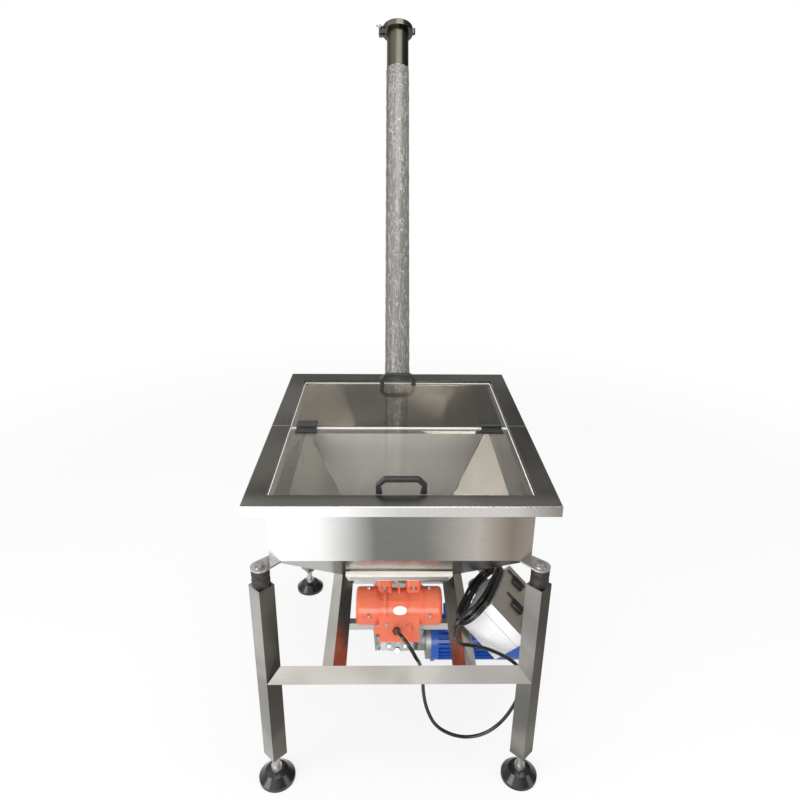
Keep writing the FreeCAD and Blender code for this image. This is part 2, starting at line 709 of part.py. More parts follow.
def make_gearbox():
    depth = gear_half_depth
    core = block(-gear_half_width, gear_half_width, -gear_front, gear_rear, -depth, depth)
    upright = [edge for edge in core.Edges if edge.BoundBox.ZLength > 2 * depth - 0.1]
    core = core.makeFillet(14.0, upright)
    neck = rod(V(0, -worm_offset, 0), V(1, 0, 0), neck_radius, neck_end)
    side_cap = rod(V(0, -worm_offset, 0), V(-1, 0, 0), neck_radius - 12, gear_half_width + 5)
    neck = neck.cut(block(-1, gear_half_width - 1, -200, 200, -200, 200))
    low_flange = rod(V(0, 0, -depth - 6), V(0, 0, 1), gear_rear - 2, 6)
    adapter = rod(V(neck_end, -worm_offset, 0), V(1, 0, 0), motor_flange_radius - 6,
                  motor_flange_start - neck_end)
    ribs = []
    for x in (-36.0, -12.0, 12.0, 36.0):
        ribs.append(block(x - 2.5, x + 2.5, -gear_front - 4, -gear_front + 3, -depth + 6, depth - 6))
    body = joined([core, neck, adapter, side_cap, low_flange] + ribs)
    wheel_room = rod(V(0, 0, -13), V(0, 0, 1), 34, 26)
    worm_room = rod(V(-40, -worm_offset, 0), V(1, 0, 0), 13.5, motor_flange_start + 40)
    shaft_room = rod(V(0, 0, -depth + 4), V(0, 0, 1), auger_shaft_radius + pin_clearance, 2 * depth)
    body = body.cut(wheel_room).cut(worm_room).cut(shaft_room)
    nodes["gearbox_housing"] = placed(body, tube_place)

    # Bolts: four on the output flange, six on the front edge ears, and the oil plug
    bolts = []
    for angle in (45, 135, 225, 315):
        reach = drive_flange_radius - 9
        spot = V(reach * math.cos(math.radians(angle)), reach * math.sin(math.radians(angle)),
                 depth + drive_flange)
        bolts.append(hexagon(spot, V(0, 0, 1), 13, 5.5))
    for x in (-24.0, 24.0):
        bolts.append(hexagon(V(x, -gear_front, -depth + 14), V(0, -1, 0), 10, 6))
    bolts.append(hexagon(V(0, -gear_front, -depth + 2), V(0, -1, 0), 14, 9))
    nodes["gearbox_bolts"] = placed(Part.makeCompound(bolts), tube_place)

    # Worm wheel and worm, with a running gap between the tooth tips and the thread
    teeth = 20
    root = 20.0
    tip = 23.5
    width = 9.0
    wheel = rod(V(0, 0, -width), V(0, 0, 1), root, 2 * width)
    cogs = []
    for index in range(teeth):
        cog = block(root - 1, tip, -1.6, 1.6, -width, width)
        cog.rotate(V(0, 0, 0), V(0, 0, 1), index * 360.0 / teeth)
        cogs.append(cog)
    wheel = joined([wheel] + cogs).cut(rod(V(0, 0, -2 * width), V(0, 0, 1), auger_shaft_radius, 4 * width))
    nodes["worm_wheel"] = placed(wheel, tube_place)
    return tip


def make_drive_motor(wheel_tip):
    axis = V(1, 0, 0)
    centre = V(0, worm_y, worm_z)

    def at(x):
        return centre + V(x, 0, 0)

    flange = rod(at(motor_flange_start), axis, motor_flange_radius, motor_flange_thickness)
    body_start = motor_flange_start + motor_flange_thickness
    body = rod(at(body_start), axis, motor_radius, motor_body_end - body_start)
    fins = []
    reach = motor_radius + fin_height
    for index in range(fin_count):
        fin = block(body_start + 12, motor_body_end - 8, -fin_thickness / 2, fin_thickness / 2,
                    motor_radius - 2, reach)
        fin.rotate(V(0, 0, 0), V(1, 0, 0), (index + 0.5) * 360.0 / fin_count)
        fin.translate(V(0, worm_y, worm_z))
        fins.append(fin)
    front_ring = rod(at(body_start), axis, reach, 12)
    rear_ring = rod(at(motor_body_end - 8), axis, reach, 8)
    box = block(body_start + 30, body_start + 118, worm_y - 42, worm_y + 42, worm_z + motor_radius - 4,
                worm_z + motor_radius + 34)
    box = box.makeFillet(6.0, [e for e in box.Edges if e.BoundBox.ZLength > 37])
    inner_bore = rod(at(motor_flange_start), axis, 30, motor_body_end - motor_flange_start)
    nodes["drive_motor"] = joined([flange, body, front_ring, rear_ring, box] + fins).cut(inner_bore)

    cover = rod(at(motor_body_end), axis, fan_cover_radius, fan_cover_end - motor_body_end)
    rounded = [e for e in cover.Edges if abs(e.CenterOfMass.x - fan_cover_end) < 0.01]
    cover = cover.makeFillet(14.0, rounded)
    room = rod(at(motor_body_end), axis, fan_cover_radius - sheet, fan_cover_end - motor_body_end - sheet)
    room = room.makeFillet(12.0, [e for e in room.Edges
                                  if abs(e.CenterOfMass.x - fan_cover_end + sheet) < 0.01])
    cover = cover.cut(room)
    holes = [rod(at(fan_cover_end - 10), axis, 7, 20)]
    for radius, count in ((20.0, 8), (34.0, 12), (47.0, 16)):
        for index in range(count):
            turn = 2 * math.pi * index / count
            spot = at(fan_cover_end - 10) + V(0, radius * math.cos(turn), radius * math.sin(turn))
            holes.append(rod(spot, axis, 3.6, 20))
    nodes["fan_cover"] = cover.cut(holes)

    # The rotor shaft carries the worm at one end and the fan at the other
    worm_radius = worm_offset - wheel_tip - body_gap
    worm = rod(at(-30), axis, worm_radius, 60)
    shaft = joined([rod(at(-38), axis, 6.0, motor_body_end + 62), worm,
                    rod(at(motor_flange_start + 20), axis, 26, motor_body_end - motor_flange_start - 40)])
    nodes["rotor_shaft"] = shaft
    hub = pipe(at(motor_body_end + 12), axis, 14, 6.0, 24)
    blades = []
    for index in range(7):
        blade = block(motor_body_end + 14, motor_body_end + 34, -1.2, 1.2, 12, 52)
        blade.rotate(V(0, 0, 0), V(1, 0, 0), index * 360.0 / 7)
        blade.translate(V(0, worm_y, worm_z))
        blades.append(blade)
    disc = pipe(at(motor_body_end + 12), axis, 52, 6.0, 2)
    nodes["cooling_fan"] = joined([hub, disc] + blades)


def make_hangers():
    def point(front, up):
        # A gearbox corner, from its distances along the housing's own directions
        return V(0, gear_y + front * math.sin(incline) + up * math.cos(incline),
                 gear_z - front * math.cos(incline) + up * math.sin(incline))

    upper_front = point(-gear_front, gear_half_depth)
    lower_front = point(-gear_front, -gear_half_depth)
    lower_rear = point(gear_rear - 6, -gear_half_depth + 6)
    upper_rear = point(gear_rear - 6, gear_half_depth)
    outline = [V(0, bar_y - 14, bar_top - bar_size), V(0, bar_y + 26, bar_top - bar_size),
               upper_front + V(0, 12, 8), upper_rear, lower_rear, lower_front]
    plates = []
    for start in (gear_half_width + hanger_gap, -gear_half_width - hanger_gap - hanger_thickness):
        shifted = [V(start, p.y, p.z) for p in outline]
        side = plate(shifted, V(hanger_thickness, 0, 0))
        cut = rod(V(start - 1, worm_y, worm_z), V(1, 0, 0), neck_radius + 1, hanger_thickness + 2)
        plates.append(side.cut(cut))
    nodes["hanger_plates"] = Part.makeCompound(plates)


def make_vibrator():
    pad_top = vib_foot_height
    slab = block(-vib_plate_length / 2, vib_plate_length / 2, -vib_plate_width / 2, vib_plate_width / 2,
                 pad_top, slope_gap)
    nodes["vibrator_plate"] = placed(slab, vib_place)

    core = rod(V(-vib_core_half, 0, 0), V(1, 0, 0), vib_core_radius, 2 * vib_core_half)
    pieces = [core]
    for x in (-36.0, 36.0):
        foot = block(x - 19, x + 19, -vib_foot_reach, vib_foot_reach, pad_top - vib_foot_thickness, pad_top)
        foot = foot.makeFillet(10.0, [e for e in foot.Edges if e.BoundBox.ZLength > vib_foot_thickness - 0.1])
        pieces.append(foot)
        pieces.append(block(x - 17, x + 17, -33, 33, 22, pad_top - vib_foot_thickness + 1))
    for x in (-24.0, 0.0, 24.0):
        pieces.append(block(x - 2.5, x + 2.5, -34, 34, 24, 50))
    rim_width_here = 7.0
    for x in (-vib_core_half, vib_core_half - rim_width_here):
        pieces.append(rod(V(x, 0, 0), V(1, 0, 0), vib_cover_radius, rim_width_here))
    box = Part.makeLoft([rectangle(-vib_box_half, vib_box_half, -vib_box_depth, vib_box_depth, -24),
                         rectangle(-vib_box_half + 2, vib_box_half - 2, -vib_box_depth, vib_box_depth,
                                   -vib_box_bottom + 8)], True, True)
    pieces.append(box)
    pieces.append(rod(V(22, -vib_box_depth + 1, -62), V(0, -1, 0), 11, 4))
    pieces.append(block(-vib_box_half - 12, -vib_box_half + 2, -vib_box_depth + 2, -vib_box_depth + 12, -68, -50))
    inside = vib_core_half - vib_shield
    room = rod(V(-inside, 0, 0), V(1, 0, 0), vib_core_radius - 10, 2 * inside)
    bearings = rod(V(-vib_core_half - 1, 0, 0), V(1, 0, 0), vib_shaft_radius + pin_clearance, 2 * vib_core_half + 2)
    nodes["vibrator_housing"] = placed(joined(pieces).cut(room).cut(bearings), vib_place)

    lid = block(-vib_box_half, vib_box_half, -vib_box_depth, vib_box_depth, -vib_box_bottom,
                -vib_box_bottom + 8)
    lid = lid.makeFillet(3.0, [e for e in lid.Edges if abs(e.CenterOfMass.z + vib_box_bottom) < 0.01])
    nodes["terminal_cover"] = placed(lid, vib_place)

    covers = []
    length = vib_cover_end - vib_core_half
    for way in (-1.0, 1.0):
        cup = rod(V(way * vib_core_half, 0, 0), V(way, 0, 0), vib_cover_radius, length)
        end = [e for e in cup.Edges if abs(abs(e.CenterOfMass.x) - vib_cover_end) < 0.01]
        cup = cup.makeFillet(9.0, end)
        cup = cup.cut(rod(V(way * vib_core_half, 0, 0), V(way, 0, 0), vib_cover_radius - 3, length - 3))
        covers.append(cup)
    nodes["vibrator_covers"] = placed(Part.makeCompound(covers), vib_place)

    bolts = []
    for x in (-36.0, 36.0):
        for y in (-vib_foot_reach + 10, vib_foot_reach - 10):
            bolts.append(hexagon(V(x, y, pad_top - vib_foot_thickness), V(0, 0, -1), 13, 7))
    nodes["vibrator_bolts"] = placed(Part.makeCompound(bolts), vib_place)

    gland_start = V(-7, -vib_box_depth, -62)
    collar = hexagon(gland_start, V(0, -1, 0), 2 * gland_radius, gland_length * 0.4)
    nose = Part.makeCone(gland_radius - 1, gland_radius - 3, gland_length * 0.6,
                         gland_start + V(0, -gland_length * 0.4, 0), V(0, -1, 0))
    nodes["cable_gland"] = placed(joined([collar, nose]), vib_place)

    shaft = rod(V(-vib_cover_end + 12, 0, 0), V(1, 0, 0), vib_shaft_radius, 2 * vib_cover_end - 24)
    rotor = rod(V(-30, 0, 0), V(1, 0, 0), 28, 60)
    nodes["vibrator_shaft"] = placed(joined([shaft, rotor]), vib_place)
    weights = []
    for way in (-1.0, 1.0):
        for first in (64.0, 80.0):
            disc = rod(V(way * first, 0, 0), V(way, 0, 0), 38, 12)
            half = disc.cut(block(-200, 200, -100, 100, 6, 100))
            half.rotate(V(0, 0, 0), V(1, 0, 0), front_slope)
            hub = rod(V(way * first, 0, 0), V(way, 0, 0), 15, 12)
            hole = rod(V(way * first, 0, 0), V(way, 0, 0), vib_shaft_radius, 12)
            weights.append(joined([half, hub]).cut(hole))
    nodes["eccentric_weights"] = placed(Part.makeCompound(weights), vib_place)


def box_frame():
    # The control box's own directions: a into its depth, b along it, c across it
    yaw = math.radians(box_yaw)
    roll = math.radians(box_roll)
    level = V(math.cos(yaw), -math.sin(yaw), 0)
    a = level * -math.cos(roll) + V(0, 0, -math.sin(roll))
    b = V(math.sin(yaw), math.cos(yaw), 0)
    c = level * math.sin(roll) + V(0, 0, -math.cos(roll))
    return a, b, c


def box_placement():
    # Local X runs across the box, Y along it and Z out of its door
    a, b, c = box_frame()
    out = a * -1.0
    matrix = FreeCAD.Matrix(c.x, b.x, out.x, box_corner.x,
                            c.y, b.y, out.y, box_corner.y,
                            c.z, b.z, out.z, box_corner.z,
                            0, 0, 0, 1)
    return FreeCAD.Placement(matrix)


hinge_places = (50.0, 122.0)
hinge_span = 44.0
hinge_barrel = 4.5


def make_control_box(beam_cutters):
    place = box_placement()
    seat = -box_depth
    body = block(0, box_width, 0, box_length, seat, -box_door)
    upright = [e for e in body.Edges if e.BoundBox.ZLength > box_depth - box_door - 0.1]
    body = body.makeFillet(4.0, upright)
    room = block(box_wall, box_width - box_wall, box_wall, box_length - box_wall, seat + box_wall,
                 -box_door + 1)
    nodes["control_box"] = placed(body.cut(room), place)

    door = block(0, box_width, 0, box_length, -box_door + door_gap, 0)
    upright = [e for e in door.Edges if e.BoundBox.ZLength > box_door - door_gap - 0.1]
    door = door.makeFillet(4.0, upright)
    hollow = block(box_wall, box_width - box_wall, box_wall, box_length - box_wall, -box_door, -box_wall)
    nodes["box_door"] = placed(door.cut(hollow), place)

    # Two moulded hinges on the outer edge: a leaf on the case, a leaf on the door, and a pin through both
    axis_x = box_width + hinge_barrel + body_gap
    axis_z = -box_door
    case_leaves = []
    door_leaves = []
    for along in hinge_places:
        first = along - hinge_span / 2
        third = hinge_span / 3
        bore = rod(V(axis_x, first - 1, axis_z), V(0, 1, 0), pin_radius + pin_clearance, hinge_span + 2)
        pin = rod(V(axis_x, first, axis_z), V(0, 1, 0), pin_radius, hinge_span)
        lower = block(box_width, box_width + 4, first, first + hinge_span, axis_z - 34, axis_z - hinge_barrel - 1)
        case = [lower]
        for start in (first, first + 2 * third):
            case.append(rod(V(axis_x, start, axis_z), V(0, 1, 0), hinge_barrel, third - knuckle_gap))
            case.append(block(box_width + body_gap, axis_x, start, start + third - knuckle_gap,
                              axis_z - hinge_barrel - 2, axis_z))
        case_leaves.append(joined(case).cut(bore))
        case_leaves.append(pin)
        upper = block(box_width, box_width + 4, first, first + hinge_span, axis_z + hinge_barrel + 1, 0)
        flap = block(box_width - 30, box_width + 4, first + 8, first + hinge_span - 8, 0, 4)
        middle = rod(V(axis_x, first + third, axis_z), V(0, 1, 0), hinge_barrel, third - knuckle_gap)
        arm = block(box_width + body_gap, axis_x, first + third, first + 2 * third - knuckle_gap,
                    axis_z, axis_z + hinge_barrel + 2)
        ridge = block(box_width - 30, box_width - 22, first, first + hinge_span, 0, 9)
        door_leaves.append(joined([upper, flap, middle, arm, ridge]).cut(bore))
    nodes["case_hinges"] = placed(Part.makeCompound(case_leaves), place)
    nodes["door_hinges"] = placed(Part.makeCompound(door_leaves), place)

    gland = joined([hexagon(V(62, box_length, -72), V(0, 1, 0), 2 * gland_radius, 8),
                    rod(V(62, box_length + 8, -72), V(0, 1, 0), gland_radius - 2, 12)])
    nodes["box_gland"] = placed(gland, place)

    # The bracket is a seat under the box's back and two legs down to the beam
    right = beam_cutters[1]
    pad = block(8, 60, 10, box_length - 10, seat - 4, seat)
    legs = [block(14, 54, y, y + 6, seat - 120, seat - 4) for y in (24.0, 84.0, 140.0)]
    whole = placed(joined([pad] + legs), place)
    below = block(-rim_width, rim_width, -rim_depth, 2 * rim_depth, 0, rail_z)
    whole = whole.cut(right).cut(below)
    nodes["box_bracket"] = max(whole.Solids, key=lambda s: s.Volume)


def rounded_path(points):
    # Straight runs joined by tangent arcs, each arc as large as its two runs allow
    edges = []
    radii = []
    last = points[0]
    for before, corner, after in zip(points, points[1:], points[2:]):
        back = before - corner
        ahead = after - corner
        shorter = min(back.Length, ahead.Length)
        back.normalize()
        ahead.normalize()
        turn = math.pi - back.getAngle(ahead)
        trim = 0.45 * shorter
        radii.append(trim / math.tan(turn / 2))
        start = corner + back * trim
        end = corner + ahead * trim
        middle_way = back + ahead
        middle_way.normalize()
        reach = trim / math.cos((math.pi - turn) / 2)
        radius = trim / math.tan(turn / 2)
        middle = corner + middle_way * (reach - radius)
        edges.append(Part.LineSegment(last, start).toShape())
        edges.append(Part.Arc(start, middle, end).toShape())
        last = end
    edges.append(Part.LineSegment(last, points[-1]).toShape())
    return Part.Wire(edges), radii


def cord_tube(points, label):
    path, radii = rounded_path(points)
    direction = points[1] - points[0]
    circle = Part.Wire(Part.makeCircle(cord_radius, points[0], direction))
    tube = path.makePipeShell([circle], True, False)
    ratio = tube.Volume / (math.pi * cord_radius ** 2 * path.Length)
    print(label, "length", round(path.Length, 1), "volume ratio", round(ratio, 4),
          "radii", [round(r) for r in radii])
    return tube


def make_cord():
    # The cord leaves the vibration motor, hangs in a loop under the front rail, rises behind the right leg,
    # comes back along the control box and ends in a coil that lies on it
    a, b, c = box_frame()
    gland_tip = vib_place.multVec(V(-7, -vib_box_depth - gland_length - cord_gap, -62))
    outwards = vib_place.Rotation.multVec(V(0, -1, 0))
    lead = [gland_tip,
            gland_tip + outwards * 24,
            V(3.0, 66.0, 411.0),
            V(17.0, 51.0, 402.0),
            V(30.0, 46.0, 381.0),
            V(40.0, 50.0, 355.0),
            V(47.0, 64.0, 332.0),
            V(54.0, 73.0, 300.0),
            V(58.0, 79.0, 262.0),
            V(61.0, 84.0, 212.0),
            V(70.0, 88.0, 158.0),
            V(92.0, 90.0, 100.0),
            V(130.0, 92.0, 66.0),
            V(176.0, 94.0, 50.0),
            V(224.0, 96.0, 60.0),
            V(262.0, 98.0, 94.0),
            V(288.0, 99.0, 140.0),
            V(304.0, 98.0, 192.0),
            V(308.0, 94.0, 246.0),
            V(294.0, 90.0, 294.0),
            V(258.0, 90.0, 326.0),
            V(214.0, 93.0, 346.0),
            V(174.0, 102.0, 368.0),
            V(146.0, 120.0, 392.0)]
    nodes["cord_lead"] = cord_tube(lead, "cord lead")

    # The coil's own outline: an oval ring lying on the box's upper left side
    place = box_placement()
    lift = coil_thickness / 2 + 1.0
    mid_depth = -box_depth / 2 - 9
    length = coil_end - coil_start
    straight = length / 2 - coil_half_width
    middle = (coil_end + coil_start) / 2
    ring_radius = coil_half_width - coil_thickness / 2
    path = []
    for way in (1.0, -1.0):
        centre = V(-lift, middle + way * straight, mid_depth)
        start = centre + V(0, 0, -way * ring_radius)
        top = centre + V(0, way * ring_radius, 0)
        end = centre + V(0, 0, way * ring_radius)
        path.append(Part.Arc(start, top, end).toShape())
        path.append(Part.LineSegment(end, end + V(0, -way * 2 * straight, 0)).toShape())
    wire = Part.Wire(path)
    circle = Part.Wire(Part.makeCircle(coil_thickness / 2, V(-lift, middle + straight, mid_depth - ring_radius),
                                       V(0, 1, 0)))
    ring = wire.makePipeShell([circle], True, False)
    nodes["cord_coil"] = placed(ring, place)
    nodes["cord_lead"] = max(nodes["cord_lead"].cut(nodes["cord_coil"]).Solids, key=lambda s: s.Volume)


cone_solid = make_hopper()
make_mounts(cone_solid)
make_lids()
beam_solids = make_frame()
make_feet()
make_screw()
make_tube_end()
make_sleeve()
tooth_tip = make_gearbox()
make_drive_motor(tooth_tip)
make_hangers()
make_vibrator()
make_control_box(beam_solids)
make_cord()

# The origin is on the floor, under the middle of the part's box without its cord
cord_nodes = ("cord_lead", "cord_coil")
boxes = [shape.BoundBox for name, shape in nodes.items() if name not in cord_nodes]
mid_x = (min(b.XMin for b in boxes) + max(b.XMax for b in boxes)) / 2
mid_y = (min(b.YMin for b in boxes) + max(b.YMax for b in boxes)) / 2
shift = V(-mid_x, -mid_y, 0)
for name, shape in nodes.items():
    moved = shape.copy()
    moved.translate(shift)
    moved.exportStep("parts/" + name + ".step")
    nodes[name] = moved
print("shift", round(shift.x, 4), round(shift.y, 4))
print(len(nodes), "nodes", sum(len(s.Solids) for s in nodes.values()), "solids")
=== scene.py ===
# Screw feeder with a lidded vibrating hopper, dressed over its solids.
import math
import random

import bmesh
import bpy
from mathutils import Matrix, Vector


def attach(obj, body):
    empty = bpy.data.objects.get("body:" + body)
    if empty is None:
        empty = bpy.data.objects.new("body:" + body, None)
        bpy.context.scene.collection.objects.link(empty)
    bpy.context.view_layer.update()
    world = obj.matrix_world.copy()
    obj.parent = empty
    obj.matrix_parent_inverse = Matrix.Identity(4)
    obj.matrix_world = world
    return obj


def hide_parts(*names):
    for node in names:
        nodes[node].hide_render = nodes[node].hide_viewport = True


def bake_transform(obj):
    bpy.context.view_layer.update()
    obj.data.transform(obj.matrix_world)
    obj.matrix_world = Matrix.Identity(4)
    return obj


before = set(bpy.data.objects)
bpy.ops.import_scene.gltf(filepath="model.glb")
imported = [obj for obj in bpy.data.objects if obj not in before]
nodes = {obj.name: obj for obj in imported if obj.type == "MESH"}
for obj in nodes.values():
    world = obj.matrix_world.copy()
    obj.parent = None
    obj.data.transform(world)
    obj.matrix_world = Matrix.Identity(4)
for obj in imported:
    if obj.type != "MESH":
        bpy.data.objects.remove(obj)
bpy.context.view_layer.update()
shift = Vector((-0.018, -0.7546548, 0.0))  # from the maker's zero at the rim's front edge to this frame
print("solids loaded:", len(nodes))


# Places shared by several pieces
def turned(origin, angle):
    return Matrix.Translation(origin) @ Matrix.Rotation(math.radians(angle), 4, "X")


tubeLean = -30.0
vibratorLean = -41.86
tubeFrame = turned(Vector((-0.018, -0.298, 0.068)), tubeLean)
vibratorFrame = turned(Vector((0.0, 0.190, 0.396)) + shift, vibratorLean)
hopperMiddle = -0.018  # x of the plane that halves the hopper
hingeLine = -0.35565  # y of the line where the two lids meet


def boxDirections(yaw, roll):
    # Across the control box's door, along it, and out of it
    level = Vector((math.cos(yaw), -math.sin(yaw), 0.0))
    outOfDoor = level * math.cos(roll) + Vector((0, 0, math.sin(roll)))
    along = Vector((math.sin(yaw), math.cos(yaw), 0.0))
    across = level * math.sin(roll) - Vector((0, 0, math.cos(roll)))
    return across, along, outOfDoor


boxCorner = Vector((0.223, 0.127, 0.451)) + shift
boxAcross, boxAlong, boxOut = boxDirections(math.radians(23.8), math.radians(48.6))
boxFrame = Matrix.Translation(boxCorner) @ Matrix((boxAcross, boxAlong, boxOut)).transposed().to_4x4()


# The camera, and the floor that it sees
view = {
    "place": Vector((-0.0275, -1.158, 1.503)) + shift,
    "yaw": 1.06,
    "pitch": 22.05,
    "roll": 0.58,
    "lens": 29.616,
    "floorRadius": 9.0,
    "floorLevel": -0.0005,
    "fadeFrom": 1.5,
    "fadeTo": 3.2,
}


def makeCamera():
    yaw, pitch, roll = (math.radians(view[k]) for k in ("yaw", "pitch", "roll"))
    ahead = Vector((math.sin(yaw), math.cos(yaw), 0))
    right = Vector((math.cos(yaw), -math.sin(yaw), 0))
    forward = ahead * math.cos(pitch) - Vector((0, 0, math.sin(pitch)))
    up = ahead * math.sin(pitch) + Vector((0, 0, math.cos(pitch)))
    camX = right * math.cos(roll) + up * math.sin(roll)
    camY = up * math.cos(roll) - right * math.sin(roll)
    turn = Matrix((camX, camY, -forward)).transposed()
    bpy.ops.object.camera_add(location=view["place"])
    camera = bpy.context.object
    camera.matrix_world = Matrix.Translation(view["place"]) @ turn.to_4x4()
    camera.data.lens = view["lens"]
    camera.data.sensor_width = 36.0
    camera.data.clip_end = 60.0
    bpy.context.scene.camera = camera


makeCamera()
bpy.context.scene.view_settings.view_transform = "Standard"
print("camera set")


# The cord: out of the vibration motor, down in a loop, up behind the leg and into its coil on the control box.
# The route and the coil are in millimetres; the cord's radius and its start at the motor are in metres
cordSizes = {
    "radius": 0.0045,
    "tip": (-0.007, -0.060, -0.062),
    "straightOut": 0.024,
    "turns": 4.7,
    "pointsPerTurn": 14,
    "placesInBundle": 5,
    "coilMiddle": 75.5,
    "coilDepth": -64.0,
    "halfStraight": 54.5,
    "ring": 53.0,
    "lift": 14.0,
    "bundle": 8.3,
    "swell": 0.12,
    "sway": 1.4,
    "swayRate": 1.7,
    "swayStart": 0.6,
    "start": -0.284,
    "firstPlace": 0.9,
    "gland": (62.0, 190.0, -72.0),
}
cordRoute = [(3, 66, 411), (17, 51, 402), (30, 46, 381), (40, 50, 355), (47, 64, 332), (54, 73, 300),
             (58, 79, 262), (61, 84, 212), (70, 88, 158), (92, 90, 100), (130, 92, 66), (176, 94, 50),
             (224, 96, 60), (262, 98, 94), (288, 99, 140), (304, 98, 192), (308, 94, 246), (294, 90, 294),
             (258, 90, 325), (216, 93, 345), (177, 94, 356), (143, 90, 362), (129, 105, 385)]
# The last points, from the coil into the box's rear gland, measured from that gland along the box's edges
cordEnd = [(-69, 20, -31), (-51, 46, -18), (-24, 53, -6), (-4, 39, -1), (0, 18, 0), (0, 0, 0)]


def ringPlace(share, ring, half):
    # A place on a long ring with straight sides, counted evenly by length
    side, end = 2 * half, math.pi * ring
    way = (share % 1.0) * 2 * (side + end)
    if way < half:
        return way, ring
    way -= half
    if way < end:
        return half + ring * math.sin(way / ring), ring * math.cos(way / ring)
    way -= end
    if way < side:
        return half - way, -ring
    way -= side
    if way < end:
        return -half - ring * math.sin(way / ring), -ring * math.cos(way / ring)
    return -half + (way - end), ring


def coilPoints():
    # Loose turns that lie beside and on each other; the bundle's section is a ring of places,
    # and it opens a little at its lower end
    each = cordSizes["pointsPerTurn"]
    points = []
    for index in range(int(each * cordSizes["turns"])):
        share = cordSizes["start"] + index / each
        place = cordSizes["firstPlace"] + 2 * math.pi / cordSizes["placesInBundle"] * index / each
        low = -math.sin(2 * math.pi * share)
        spread = cordSizes["bundle"] * (1 + cordSizes["swell"] + cordSizes["swell"] * low)
        swing = cordSizes["swayRate"] * index / each * math.pi + cordSizes["swayStart"]
        sway = cordSizes["sway"] * math.sin(swing)
        ring = cordSizes["ring"] + spread * math.cos(place) + sway
        along, depth = ringPlace(share, ring, cordSizes["halfStraight"])
        point = Vector((-cordSizes["lift"] - spread * math.sin(place),
                        cordSizes["coilMiddle"] + along,
                        cordSizes["coilDepth"] + depth))
        points.append(boxFrame @ (point / 1000))
    return points


def makeCord():
    tip = vibratorFrame @ Vector(cordSizes["tip"])
    outwards = (vibratorFrame.to_3x3() @ Vector((0, -1, 0))).normalized()
    points = [tip, tip + outwards * cordSizes["straightOut"]]
    points += [Vector(p) / 1000 + shift for p in cordRoute]
    points += coilPoints()
    gland = Vector(cordSizes["gland"])
    points += [boxFrame @ ((gland + Vector(offset)) / 1000) for offset in cordEnd]
    curve = bpy.data.curves.new("cord", "CURVE")
    curve.dimensions = "3D"
    curve.bevel_depth = 1.0
    curve.bevel_resolution = 6
    curve.resolution_u = 8
    curve.use_fill_caps = True
    spline = curve.splines.new("NURBS")
    spline.points.add(len(points) - 1)
    for target, point in zip(spline.points, points):
        target.co = (*point, 1.0)
        target.radius = cordSizes["radius"]
    spline.order_u = 3
    spline.use_endpoint_u = True
    cord = bpy.data.objects.new("cord", curve)
    bpy.context.scene.collection.objects.link(cord)
    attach(cord, "frame")
    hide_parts("cord_lead", "cord_coil")
    return cord, tip


cord, cordExit = makeCord()
print("cord laid")


# Finishes
class Wire:  # a node's output, used in plain sums
    def __init__(self, recipe, end):
        self.recipe, self.end = recipe, end

    def maths(self, operation, *others):
        return self.recipe.node("Math", {"operation": operation}, dict(enumerate((self, *others))))

    def __add__(self, other):
        return self.maths("ADD", other)

    __radd__ = __add__

    def __mul__(self, other):
        return self.maths("MULTIPLY", other)

    __rmul__ = __mul__

    def __sub__(self, other):
        return self.maths("SUBTRACT", other)

    def __rsub__(self, other):
        return (self * -1.0) + other

    def __gt__(self, other):
        return self.maths("GREATER_THAN", other)

    def __lt__(self, other):
        return self.maths("LESS_THAN", other)

    def step(self, low, high):
        return self.recipe.node("MapRange", {"interpolation_type": "SMOOTHSTEP"}, {
            "Value": self, "From Min": low, "From Max": high, "To Min": 0.0, "To Max": 1.0})


